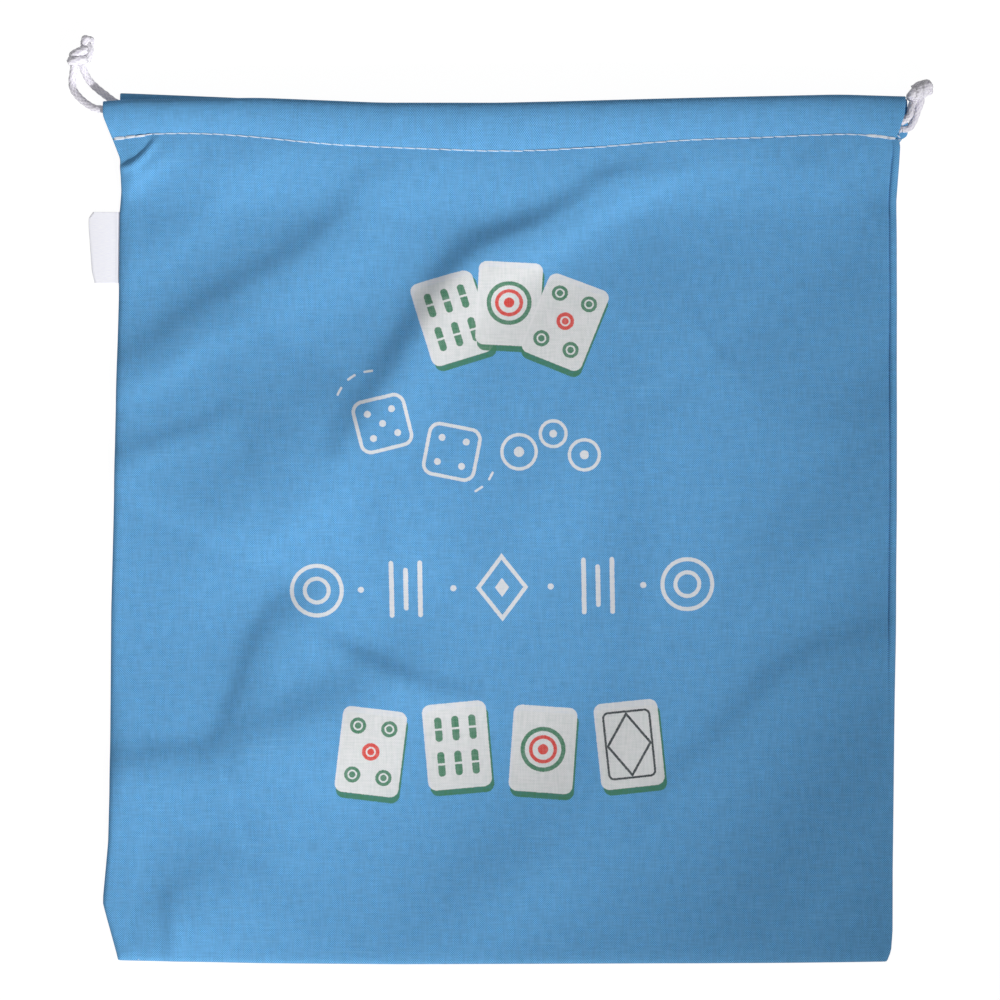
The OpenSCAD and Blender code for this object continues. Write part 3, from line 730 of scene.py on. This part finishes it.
frontEdges = ([0, 0.3, 0.7, 1.2, 1.8] + list(np.arange(2.4, 17, 0.6)),
              [0, 0.35, 0.8, 1.3, 1.8, 2.2, 2.5, 2.8, 3.1, 3.5, 4.2, 5.4])
frontColumns = 204
inside = {"bare": 0.62, "strips": 1.42, "wide": (12, 6)}
# the seam at the right is rolled to the front: a lip, and a groove beside it, as distances from the edge
rolledSeam = {"high": 0.95, "at": 1.3, "wide": 1.2, "groove": 0.3, "grooveAt": 2.9, "grooveWide": 0.45,
              "from": (-95, 70), "to": (166, 3)}
# how the folds and wrinkles fade at the side, at the bottom and towards the mouth
fades = {"side": 6, "bottom": 8, "folds": (150, 14), "foldsLess": 0.5, "detail": (150, 15), "detailLess": 0.7,
         "tuck": (161, 4), "tuckSide": 0.7, "fine": 0.2, "least": 0.05}


def insideTop(d, y):
    # height that the seam allowances, their threads and the back panel need under the front panel
    up = y - cloth["bottomY"]
    strips = 1 - rising(np.minimum(d, up), *inside["wide"])
    edges = (1 - np.exp(-d / cloth["edge"])) * (1 - np.exp(-up / cloth["edge"]))
    return inside["bare"] + inside["strips"] * strips * edges


def bodyDetail(x, y, under, left, right):
    # folds, waves, small wrinkles and the rolled seam at the right, kept off the layer below
    d = np.minimum(x - left, right - x)
    near = smooth(d / fades["side"]) * rising(y, cloth["bottomY"], fades["bottom"])
    fold = foldHeight(x, y, folds)
    both = fold * swellShare(x, y)
    extra = fold * (1 - fades["foldsLess"] * rising(y, *fades["folds"])) - both
    extra = (extra + waveHeight(x, y) + fades["fine"] * wrinkle(x, y, 3, 16)) * near
    room = np.maximum(under - insideTop(d, y), fades["least"])
    extra = np.where(extra < 0, -room * (1 - np.exp(extra / room)), extra)
    roll = rolledSeam
    puffed = rising(y, *roll["from"]) * falling(y, *roll["to"])
    fromRight = right - x
    lip = roll["high"] * np.exp(-((fromRight - roll["at"]) / roll["wide"]) ** 6)
    groove = roll["groove"] * np.exp(-((fromRight - roll["grooveAt"]) / roll["grooveWide"]) ** 2)
    return both + extra + (lip - groove) * puffed


# dip: how deep the stitches pull; pull: how far they draw; pucker: uneven pulls below them and their reach
# bend: where the cloth's rows begin to follow the stitch line; ripple and fine: waves of the channel
frontHem = {"dip": 0.14, "pull": 2.4, "pucker": 0.5, "reach": 10.0, "bend": (90, 75), "ripple": 0.5,
            "fine": 0.2, "turned": 20, "lipBelow": 0.12}
frontRows = np.concatenate([cloth["bottomY"] + np.array([0, 0.5, 1.1, 2.0, 3.4, 5.4, 8.0]),
                            np.linspace(-172.8, 126.5, 103), np.linspace(127.6, 163.2, 41),
                            [164.1, cloth["stitchY"]]])


def frontSheet():
    # rows run up the body to the stitches, round the channel and back down as the turned-in cloth
    body = frontRows
    turns = math.pi * np.array([0, 0.8, 1.2, 2])
    angles = np.concatenate([np.linspace(turns[i], turns[i + 1], n)[1:] for i, n in enumerate((18, 9, 12))])
    lip = np.array([163.6, 162.2])
    left, right = leftEdge(body), rightEdge(body)
    x = spacedColumns(left, right, frontEdges, frontColumns)
    y0 = np.broadcast_to(body[:, None], x.shape)
    stitch = stitchLine(x)
    y = y0 + (stitch - cloth["stitchY"]) * rising(y0, *frontHem["bend"]) + bottomShift(x, y0)
    under = bodyUnder(x, y0, left[:, None], right[:, None])
    half = mouth["channel"] / 2
    seam = turnUnder(x) + mouth["cloth"] + half
    k = smooth((y0 - (cloth["stitchY"] - cloth["ramp"])) / cloth["ramp"])
    detail = bodyDetail(x, y0, under, left[:, None], right[:, None])
    detail = detail * (1 - fades["detailLess"] * rising(y0, *fades["detail"]))
    tucked = foldHeight(x, y, tuck) * (1 - rising(y0, *fades["tuck"]))
    detail += tucked * (1 - np.exp(-(x - left[:, None]) / fades["tuckSide"]))
    z = (1 - k) * under + k * seam + detail
    # small dips at the stitches, with uneven pulls below them
    toStitch = cloth["stitchY"] - y0
    pull = np.exp(-(toStitch / frontHem["pull"]) ** 2)
    pucker = -frontHem["dip"] * pull
    below = np.exp(-toStitch / frontHem["reach"]) * (1 - pull)
    pucker += frontHem["pucker"] * below * wrinkle(x, y0 * 0.3, 5, 12, spread=25)
    bodyGrid = np.stack([x, y, z + pucker], -1)
    # channel: a drop shape pinched at the stitches and round at the top fold
    share, rise = dropShape(angles)
    hemY = cloth["stitchY"] + share * cloth["frontHem"]
    hl, hr = leftEdge(hemY), rightEdge(hemY)
    hx = spacedColumns(hl, hr, frontEdges, frontColumns)
    s = share[:, None]
    sx, tx = stitchLine(hx), topLine(hx)
    hy = sx + s * (tx - sx)
    upper = (angles < math.pi)[:, None]
    hz = turnUnder(hx) + mouth["cloth"] + half + half * rise[:, None]
    ripple = frontHem["ripple"] * wrinkle(hx, hy * 0.35, 9, 19, spread=30)
    ripple += frontHem["fine"] * wrinkle(hx, hy, 12, 9)
    hz += np.where(upper, np.maximum(ripple, -0.1) * np.sin(np.minimum(angles, math.pi))[:, None], 0)
    hz -= frontHem["dip"] * np.exp(-(s * cloth["frontHem"] / frontHem["pull"]) ** 2)
    hemGrid = np.stack([hx, hy, hz], -1)
    # the turned-in edge hangs just below the body
    lx = spacedColumns(leftEdge(lip), rightEdge(lip), frontEdges, frontColumns)
    ly = lip[:, None] + stitchLine(lx) - cloth["stitchY"]
    lipZ = [[np.interp(v, body[-9:], column) for column in bodyGrid[-9:, :, 2].T] for v in lip]
    lipGrid = np.stack([lx, ly, np.array(lipZ) - frontHem["lipBelow"]], -1)
    grid = np.concatenate([bodyGrid, hemGrid, lipGrid])
    run = np.concatenate([body, hemY[angles <= math.pi]])
    run = np.concatenate([run, run[-1] + np.linspace(0.9, frontHem["turned"], len(grid) - len(run))])
    return grid, flatPlaces(grid, run)


# soft: half the width of an ink's edge; tile: width, height and corner; side: where its lower tile shows
ink = {"white": (226, 227, 229), "green": (70, 128, 98), "red": (216, 68, 60), "dark": (52, 62, 66),
       "soft": 0.14, "tile": (27.0, 36.5, 3.6), "side": (0.8, -2.5)}
# tiles: picture place, tilt in degrees, face
tiles = [
    ((452, 318), 17, "bars"), ((509, 303), -3, "ring"), ((565, 322), -22, "pips"),
    ((371, 751), -7, "pips"), ((457, 745), 5, "bars"), ((543, 749), -4, "ring"), ((629, 744), 6, "frame"),
]


class Shapes(Nodes):
    # distances to plain shapes, in millimetres, below zero inside
    def turned(self, place, at, degrees):
        x, y = fromPicture(at)
        return self.add("ShaderNodeMapping", {"Vector": place, "Location": (x, y, 0),
                        "Rotation": (0, 0, math.radians(degrees))}, vector_type="TEXTURE")

    def folded(self, place):
        return self.vector("ABSOLUTE", place)

    def box(self, place, at, wide, high, corner):
        q = self.vector("ABSOLUTE", self.vector("SUBTRACT", place, (at[0], at[1], 0)))
        q = self.vector("SUBTRACT", q, (wide / 2 - corner, high / 2 - corner, 0))
        far = self.vector("LENGTH", self.vector("MAXIMUM", q, (0, 0, 0)), out=1)
        return self.sum("SUBTRACT", far, corner)

    def circle(self, place, at, radius):
        return self.sum("SUBTRACT", self.vector("DISTANCE", place, (at[0], at[1], 0), out=1), radius)

    def lozenge(self, place, halfWide, halfHigh):
        # sum of both sides' shares of the half widths, less one, back in millimetres
        at = self.add("ShaderNodeSeparateXYZ", {0: self.folded(place)}).node
        slant = math.hypot(1 / halfWide, 1 / halfHigh)
        total = self.sum("MULTIPLY_ADD", at.outputs[0], 1 / halfWide / slant, -1 / slant)
        return self.sum("MULTIPLY_ADD", at.outputs[1], 1 / halfHigh / slant, total)

    def outlineOf(self, distance, half):
        return self.sum("SUBTRACT", self.sum("ABSOLUTE", distance), half)

    def ring(self, place, at, radius, half):
        return self.outlineOf(self.circle(place, at, radius), half)

    def union(self, *distances):
        total = distances[0]
        for d in distances[1:]:
            total = self.sum("MINIMUM", total, d)
        return total


def printedFront(n, place, colour, cross, streak):
    # inks laid over the cloth one after another; each covers a little less in the gaps of the weave
    n = Shapes(n.tree)
    bleed = n.sum("MULTIPLY_ADD", n.noise(place, 1.3, 2.0), 0.5, -0.25)
    cover = n.sum("MULTIPLY_ADD", cross, 0.06, n.sum("MULTIPLY_ADD", streak, 0.28, 0.93))

    def paint(colour, distance, name):
        edge = n.clamped(n.sum("ADD", distance, bleed), -ink["soft"], ink["soft"], 1.0, 0.0)
        return n.mixed(n.sum("MULTIPLY", edge, cover), colour, linear(*ink[name]))

    centre = (0, 0)
    for at, tilt, face in tiles:
        local = n.turned(place, at, tilt)
        colour = paint(colour, n.box(local, ink["side"], *ink["tile"]), "green")
        colour = paint(colour, n.box(local, centre, *ink["tile"]), "white")
        quarter = n.folded(local)
        if face == "bars":
            bars = [n.box(quarter, (x, 7.4), 3.0, 10.4, 1.4) for x in (7.2, 0)]
            gaps = [n.box(quarter, (x, 7.4), 3.6, 0.9, 0.4) for x in (7.2, 0)]
            colour = paint(colour, n.union(*bars), "green")
            colour = paint(colour, n.union(*gaps), "white")
        elif face == "ring":
            target = n.union(n.ring(local, centre, 5.2, 0.75), n.circle(local, centre, 2.2))
            colour = paint(colour, n.ring(local, centre, 8.6, 0.9), "green")
            colour = paint(colour, target, "red")
        elif face == "pips":
            for x, y, radius, inner, name in ((6.6, 10.4, 3.4, 1.7, "green"), (0, 0, 3.7, 1.8, "red")):
                colour = paint(colour, n.circle(quarter, (x, y), radius), name)
                colour = paint(colour, n.ring(quarter, (x, y), inner, 0.35), "white")
        else:
            frameLine = n.outlineOf(n.box(local, centre, 19.5, 28.0, 2.2), 0.45)
            colour = paint(colour, n.union(frameLine, n.outlineOf(n.lozenge(local, 9, 13), 0.5)), "dark")

    # two dice and three rings in line
    for at, tilt in (((383, 424), 14), ((452, 452), -11)):
        local = n.turned(place, at, tilt)
        quarter = n.folded(local)
        edge = n.outlineOf(n.box(local, centre, 21.5, 21.5, 4.2), 0.75)
        die = n.union(edge, n.circle(quarter, (5.2, 5.2), 1.45))
        if tilt > 0:
            die = n.union(die, n.circle(local, centre, 1.45))
        colour = paint(colour, die, "white")
    sparks = ((340, 392, 62), (352, 378, 35), (369, 372, 8), (491, 476, 62), (479, 489, 32))
    colour = paint(colour, n.union(*(n.box(n.turned(place, (x, y), tilt - 90), centre, 1.0, 4.2, 0.5)
                                     for x, y, tilt in sparks)), "white")
    rings = []
    for x, y, r in ((519, 452, 7.2), (553, 434, 5.4), (584, 455, 6.3)):
        local = n.turned(place, (x, y), 0)
        rings += [n.ring(local, centre, r, 0.7), n.circle(local, centre, r * 0.3)]
    colour = paint(colour, n.union(*rings), "white")

    # a row of plain signs, the same on both sides of its middle one
    local = n.turned(place, (502, 587), 1)
    half = n.folded(local)
    row = [n.outlineOf(n.lozenge(local, 10, 13), 0.85), n.lozenge(local, 3.0, 4.0)]
    row += [n.box(half, (x, 0), 2.0, high, 1.0) for x, high in ((34.5, 24.0), (40.5, 18.0), (46.5, 24.0))]
    row += [n.ring(half, (78, 0), radius, 0.85) for radius in (10.5, 5.0)]
    row += [n.circle(half, (x, 0), 1.3) for x in (20.5, 59.5)]
    return paint(colour, n.union(*row), "white")


frontGrid, frontPlaces = frontSheet()
frontMaterial = clothMaterial("front_cloth_printed", printedFront)
frontPanel = sheetPiece("front_panel_sheet", frontGrid, frontPlaces, frontMaterial, cloth["thick"], 1.0)
print("front panel made")


# lift: how far the mouth's far edge rises; rise: height of the channel; turned: depth of the turned-in cloth
backInfo = {"low": 0.5, "wrinkle": 0.16, "lift": 0.9, "rise": 3.2, "ripple": 0.25, "turned": 23,
            "edgeSteps": [0, 0.4, 1.0, 2.2, 4], "columns": 130}


def backSheet():
    # the same run of rows as in front, with the channel's round side turned to the bag's inside
    body = np.concatenate([cloth["bottomY"] + np.array([0, 0.6, 1.5, 3]), np.linspace(-176, 162, 110),
                           [163.5, cloth["stitchY"]]])
    angles = np.concatenate([np.linspace(0, math.pi, 16)[1:], np.linspace(math.pi, 2 * math.pi, 20)[1:]])
    lip = np.array([163.4, 162.0])

    def left(y):
        return softCurve(outline["left"] + outline["backLeft"], y, 1.0)

    def right(y):
        return softCurve(outline["right"] + outline["backRight"], y, 0.7)

    def columns(y):
        return spacedColumns(left(y), right(y), [backInfo["edgeSteps"]] * 2, backInfo["columns"])

    x = columns(body)
    y0 = np.broadcast_to(body[:, None], x.shape)
    y = y0 + bottomShift(x, y0)
    d = np.minimum(x - left(body)[:, None], right(body)[:, None] - x)
    loose = smooth(d / 10) * rising(y0, cloth["bottomY"], 12) * falling(y0, 160, 10)
    z = backInfo["low"] + backInfo["wrinkle"] * (1 + wrinkle(x, y, 21, 40)) * loose
    bodyGrid = np.stack([x, y, z + swell(x, y0)], -1)
    share, rise = dropShape(angles)
    hemY = cloth["stitchY"] + share * cloth["backHem"]
    share, rise = share[:, None], rise[:, None]
    hx = columns(hemY)
    hy = cloth["stitchY"] + share * (softCurve(outline["backTop"], hx, 5) - cloth["stitchY"])
    lift = backInfo["lift"] * share ** 2
    below = backInfo["low"] + lift * (1 - 0.5 * rise)
    above = backInfo["low"] + 0.05 + lift - backInfo["rise"] * rise
    above = above + backInfo["ripple"] * wrinkle(hx, hy, 23, 14) * -rise
    hz = np.where((angles < math.pi)[:, None], below, above)
    hemGrid = np.stack([hx, hy, hz], -1)
    lx = columns(lip)
    lipGrid = np.stack([lx, np.broadcast_to(lip[:, None], lx.shape), np.full(lx.shape, 0.6)], -1)
    grid = np.concatenate([bodyGrid, hemGrid, lipGrid])
    run = np.concatenate([body, hemY[angles <= math.pi]])
    run = np.concatenate([run, run[-1] + np.linspace(0.9, backInfo["turned"], len(grid) - len(run))])
    return grid, flatPlaces(grid, run)


backPanel = sheetPiece("back_panel_sheet", *backSheet(), plainCloth, cloth["thick"], -1.0)
print("back panel made")


# Stitches

def surfaceZ(x, y):
    # height of the front panel's top face, from the nearest column of its grid
    rows = len(frontRows)
    g = frontGrid[:rows + 17]                                      # the body and the channel's upper side
    column = np.abs(g[rows - 1, :, 0] - x[:, None]).argmin(1)
    return np.array([np.interp(v, g[:, c, 1], g[:, c, 2]) for v, c in zip(y, column)]) + cloth["thick"]


stitching = {"pitch": 5.03, "gap": 0.1, "wide": 0.56, "slant": 0.14, "lift": 0.2, "below": 0.2, "sunk": 0.12,
             "ends": 0.62, "plainWide": 0.45, "plainLift": 0.15, "plainLength": 0.84}
# rows: how far beside the line, and where each stops
tacks = {"pitch": 4.4, "length": 4.5, "shake": 0.18, "lift": 0.25,
         "left": (-162.2, -145.8, ((-0.34, -151), (0.02, -146), (0.36, -153))),
         "right": (154.6, 167.4, ((-0.32, 167.4), (0.05, 167.4), (0.38, 164)))}


def stitchRings(start, end, wide, lift, rings=7, sides=8):
    # one stitch for each start and end: a short tube that dips into the cloth at both ends
    k = np.linspace(0, 1, rings)
    hump = np.sin(math.pi * k) ** 0.5
    thin = wide / 2 * (stitching["ends"] + (1 - stitching["ends"]) * hump)
    parts = []
    for a, b in zip(start, end):
        line = a + (b - a) * k[:, None] + np.outer(hump * lift - stitching["sunk"], (0, 0, 1))
        parts.append(tubeGrid(line, thin[:, None], sides, (0.03, 0.01, 1)))
    return parts


def onHem(x, shift):
    # points on the front panel's stitch line, moved up or down by the shift
    y = stitchLine(x) - stitching["below"] + shift
    return np.column_stack([x, y, surfaceZ(x, y)])


def frontStitches():
    # one stitch a pitch, each slanting a little down to the right
    r = np.random.default_rng(17)
    x = np.arange(-145.6, 154.5, stitching["pitch"])
    start = onHem(x, stitching["slant"] * r.uniform(0.3, 1.3, len(x)))
    end = onHem(x + stitching["pitch"] - stitching["gap"], -stitching["slant"] * r.uniform(0.3, 1.3, len(x)))
    return stitchRings(start, end, stitching["wide"], stitching["lift"])


def backtack(side, seed):
    # several rows of stitches laid over each other, so the line is thick and uneven
    r = np.random.default_rng(seed)
    first, last, rows = tacks[side]
    start, end = [], []
    for shift, stop in rows:
        x = np.arange(first + r.uniform(0, 0.8), stop - 1.5, tacks["pitch"])
        start.append(onHem(x, shift + r.uniform(-tacks["shake"], tacks["shake"], len(x))))
        far = np.minimum(x + tacks["length"], last)
        end.append(onHem(far, shift + r.uniform(-tacks["shake"], tacks["shake"], len(x))))
    return stitchRings(np.concatenate(start), np.concatenate(end), stitching["wide"], tacks["lift"])


def straightStitches(a, b, pitch, wide=stitching["plainWide"], lift=stitching["plainLift"]):
    # equal stitches from a to b, each a little shorter than its share of the way
    a, b = np.array(a, float), np.array(b, float)
    count = int(np.linalg.norm(b - a) / pitch)
    start = a + (b - a) * (np.arange(count) / count)[:, None]
    end = start + (b - a) / count * stitching["plainLength"]
    return stitchRings(start, end, wide, lift, 5, 6)


def threadPiece(name, rings, material=threadMaterial):
    return makePiece(name, *joined(rings), material)


frontThread = threadPiece("front_hem_thread", frontStitches())
leftTack = threadPiece("front_left_backtack_thread", backtack("left", 3), backtackMaterial)
rightTack = threadPiece("front_right_backtack_thread", backtack("right", 4), backtackMaterial)
backRow = straightStitches((-158, 164.6, 1.15), (171, 164.6, 1.15), 5.0)
backRow += straightStitches((-158, 164.6, -0.02), (171, 164.6, -0.02), 5.0, lift=-0.02)
backThread = threadPiece("back_hem_thread", backRow)
leftSlit = threadPiece("left_slit_thread", straightStitches((-157.5, 170.5, 4.6), (-157.5, 178, 4.6), 2.5))
rightSlitRow = straightStitches((169.2, 166.8, 3.9), (171.2, 172.6, 4.9), 2.9, 0.42)
rightSlitRow += straightStitches((168.3, 166.4, 3.7), (170.1, 165.3, 2.2), 2.0, 0.6)
rightSlit = threadPiece("right_slit_thread", rightSlitRow)
print("stitches made")


# Inside of the seams

seamInfo = {"wide": 9, "in": 1.6, "rows": 120, "low": 0.56, "layer": 0.5, "thick": 0.46, "fray": 0.12,
            "stitchIn": 1.0, "stitchZ": 1.64, "stitch": 5.0}
overlock = {"in": 6.9, "half": 2.0, "z": 1.72, "lift": 0.1, "pitch": 2.6, "radius": 0.17, "points": 8}
seamY = np.linspace(-181.9, 148, seamInfo["rows"])
# each seam's line, and the way in from it
seams = {
    "left": (np.stack([leftEdge(seamY) + seamInfo["in"], seamY], 1), (1.0, 0.0)),
    "right": (np.stack([rightEdge(seamY) - seamInfo["in"], seamY], 1), (-1.0, 0.0)),
    "bottom": (np.array([(-149.5, -182), (152.5, -182)], float), (0.0, 1.0)),
}


def seamStrip(name, path, inward):
    # two flat layers of cloth beside the seam, with a slightly frayed inner edge
    r = np.random.default_rng(31 + int(inward[0]))
    across = np.linspace(0, seamInfo["wide"], 8)
    parts, faces, first = [], [], 0
    for layer in (0, 1):
        low = seamInfo["low"] + seamInfo["layer"] * layer
        fray = seamInfo["fray"] * r.standard_normal(len(path))
        reach = across[None] + (across == seamInfo["wide"])[None] * fray[:, None]
        xy = path[:, None] + reach[..., None] * inward
        z = low + 0.02 * np.sin(path[:, None, 1] / 9 + across)
        grid = np.concatenate([xy, z[..., None]], -1)
        p, f = clothShell(grid, seamInfo["thick"], 1.0 if inward[0] < 0 else -1.0)
        p[:, 2] += low - p[:, 2].min() + swell(p[:, 0], p[:, 1])
        parts.append(p)
        faces += (np.array(f) + first).tolist()
        first += len(p)
    p = np.concatenate(parts)
    return makePiece(name, p, faces, plainCloth, p[:, :2])


def seamPieces(side):
    # a seam's cloth, the row of stitches that closes it, and its overlocked edge
    line, inward = seams[side]
    path, inward = evenly(line, seamInfo["rows"]), np.array(inward)
    strip = seamStrip(side + "_seam_strip", path, inward)
    row = path + seamInfo["stitchIn"] * inward
    row = np.column_stack([row, seamInfo["stitchZ"] + swell(row[:, 0], row[:, 1])])
    stitches = []
    for i in range(3 if inward[0] else 0, len(path) - 6, 6):
        stitches += straightStitches(row[i], row[i + 6], seamInfo["stitch"])
    thread = threadPiece(side + "_seam_thread", stitches)
    # overlock: a thread that zigzags over the inner edges, its height a cosine of the same turn
    count = int(lengthOf(path) / overlock["pitch"]) * overlock["points"]
    turn = np.arange(count) * 2 * math.pi / overlock["points"]
    at = evenly(path, count) + (overlock["in"] + overlock["half"] * np.sin(turn))[:, None] * inward
    loop = np.column_stack([at, overlock["z"] + overlock["lift"] * np.cos(turn) + swell(at[:, 0], at[:, 1])])
    lock = threadPiece(side + "_overlock_thread", [tubeGrid(loop, overlock["radius"], 5, (0.02, 0.01, 1))])
    return strip, thread, lock


seamSets = {side: seamPieces(side) for side in seams}
print("seams made")


# Care label

label = {"low": 104.0, "high": 134.0, "root": -158.9, "gap": 0.13, "thick": 0.22, "z": 0.86, "ridge": 0.12,
         "crease": -161.25, "creaseWide": 0.5,
         "tip": [(104.0, -170.7), (109.4, -171.9), (128.0, -173.2), (131.4, -173.2), (134.0, -171.3)]}


def labelSheet():
    # a ribbon from its sewn root out to the tip, round a half circle and back below itself
    edge = np.array([0, 0.05, 0.15, 0.4])
    rows = np.concatenate([label["low"] + edge, np.linspace(105, 133, 27), label["high"] - edge[::-1]])
    k = np.concatenate([np.linspace(0, 0.32, 17), np.linspace(0.36, 1, 12)])
    turn = np.linspace(math.pi / 2, -math.pi / 2, 9)[1:-1]
    root, gap = label["root"], label["gap"]
    grid = []
    for y, left in zip(rows, softCurve(label["tip"], rows, 0.5)):
        x = root + (left + gap - root) * k
        fold = np.exp(-((x - label["crease"]) / label["creaseWide"]) ** 2)
        swollen = smooth((-161.2 - x) / 6) * smooth((x + 173.5) / 3)
        above = np.stack([x, x * 0 + y, label["z"] + gap + label["ridge"] * fold + label["ridge"] * swollen], 1)
        bend = np.stack([left + gap - gap * np.cos(turn), turn * 0 + y, label["z"] + gap * np.sin(turn)], 1)
        below = np.stack([x[::-1], x * 0 + y, x * 0 + label["z"] - gap], 1)
        grid.append(np.concatenate([above, bend, below]))
    grid = np.array(grid)
    run = np.concatenate([[0], np.cumsum(np.linalg.norm(np.diff(grid[15], axis=0), axis=1))])
    return grid, np.stack([np.broadcast_to(run[None], grid.shape[:2]), grid[..., 1]], -1)


labelPiece = sheetPiece("care_label_ribbon", *labelSheet(), labelMaterial(), label["thick"] / 2, -1.0, 0.5)
print("label made")


# What stands for which CAD node, and how it moves

def fix(piece, body, slot, *nodes):
    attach(piece, body)
    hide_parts(*nodes)


fix(frontPanel, "bag", "bag_cloth", "front_panel", "front_hem_turn")
fix(backPanel, "bag", "bag_cloth", "back_panel", "back_hem_turn")
fix(frontThread, "bag", "thread", "front_hem_stitching")
fix(leftTack, "bag", "thread", "front_left_backtack")
fix(rightTack, "bag", "thread", "front_right_backtack")
fix(backThread, "bag", "thread", "back_hem_stitching")
fix(leftSlit, "bag", "thread", "left_slit_stitching")
fix(rightSlit, "bag", "thread", "right_slit_stitching")
for side, (strip, thread, lock) in seamSets.items():
    fix(strip, "bag", "bag_cloth", side + "_seam_allowance")
    fix(thread, "bag", "thread", side + "_seam_stitching")
    fix(lock, "bag", "thread", side + "_overlock")
fix(frontCord, "drawcord", "cord", "front_cord")
fix(backCord, "drawcord", "cord", "back_cord")
fix(leftLoop, "bag", "cord", "left_front_strand", "left_back_strand")
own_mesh(leftLoop)
fix(rightLoop, "drawcord", "cord", "right_front_strand", "right_back_strand")
fix(leftKnot, "left_pull", "cord", "left_knot")
fix(leftEnds, "left_pull", "cord", "left_cord_ends")
fix(rightKnot, "drawcord", "cord", "right_knot")
fix(rightEnds, "drawcord", "cord", "right_cord_ends")
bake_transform(labelPiece)
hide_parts("care_label", "care_label_root")


# Floor, lamps and sky

light = {"sky": 0.52, "low": 0.28, "power": 1150.0, "at": (2.05, -3.55, 2.87), "aim": (-2.6, 2.9, 0.0),
         "cone": 35.2, "blend": 0.16, "radius": 0.13}
ground = {"half": 4, "z": -0.0004, "grey": 0.7, "shade": 0.12, "glow": 0.96}


def seenDirectly(n):
    # 1 where the camera, a reflection or glass looks, 0 where the light only bounces
    path = n.add("ShaderNodeLightPath").node
    mirrored = n.sum("MAXIMUM", path.outputs["Is Glossy Ray"], path.outputs["Is Transmission Ray"])
    return n.sum("MAXIMUM", path.outputs["Is Camera Ray"], mirrored)


def makeFloor():
    mesh = bpy.data.meshes.new("floor")
    w, z = ground["half"], ground["z"]
    mesh.from_pydata([(-w, -w, z), (w, -w, z), (w, w, z), (-w, w, z)], [], [(0, 1, 2, 3)])
    material = bpy.data.materials.new("floor_white")
    material.use_nodes = True
    tree = material.node_tree
    tree.nodes.clear()
    n = Nodes(tree)
    plain = n.add("ShaderNodeBsdfDiffuse", {"Color": [ground["grey"]] * 3 + [1]})
    shade = n.add("ShaderNodeBsdfDiffuse", {"Color": [ground["shade"]] * 3 + [1]})
    glow = n.add("ShaderNodeEmission", {"Color": (1, 1, 1, 1), "Strength": ground["glow"]})
    bright = n.add("ShaderNodeAddShader", {0: shade, 1: glow})
    out = n.add("ShaderNodeMixShader", {0: seenDirectly(n), 1: plain, 2: bright})
    end = tree.nodes.new("ShaderNodeOutputMaterial")
    tree.links.new(out, end.inputs["Surface"])
    mesh.materials.append(material)
    floor = bpy.data.objects.new("floor", mesh)
    bpy.context.scene.collection.objects.link(floor)


def makeLights():
    # one lamp at the lower right, aimed past the bag so that the bag's near corner lies in the beam's
    # soft edge, and a white sky that is strongest overhead
    lamp = bpy.data.lights.new("key", "SPOT")
    lamp.energy = light["power"]
    lamp.spot_size = math.radians(light["cone"])
    lamp.spot_blend = light["blend"]
    lamp.shadow_soft_size = light["radius"]
    key = bpy.data.objects.new("key", lamp)
    key.location = light["at"]
    aim = np.array(light["aim"]) - np.array(light["at"])
    aim /= np.linalg.norm(aim)
    key.rotation_euler = (math.acos(-aim[2]), 0, math.atan2(aim[0], -aim[1]) + math.pi)
    bpy.context.scene.collection.objects.link(key)
    world = bpy.data.worlds.new("sky")
    world.use_nodes = True
    n = Nodes(world.node_tree)
    sky = world.node_tree.nodes["Background"]
    up = n.add("ShaderNodeSeparateXYZ", {0: n.add("ShaderNodeTexCoord")}).node.outputs[2]
    up = n.sum("POWER", n.sum("MAXIMUM", up, 0.0), 2.0)
    dome = n.sum("MULTIPLY_ADD", up, light["sky"] * (1 - light["low"]), light["sky"] * light["low"])
    strength = n.add("ShaderNodeMapRange", {0: seenDirectly(n), 1: 0.0, 2: 1.0, 3: dome, 4: 1.0})
    world.node_tree.links.new(strength, sky.inputs["Strength"])
    sky.inputs["Color"].default_value = (1, 1, 1, 1)
    bpy.context.scene.world = world
    bpy.context.scene.view_settings.view_transform = "Standard"


makeFloor()
makeLights()
print("floor and light made")
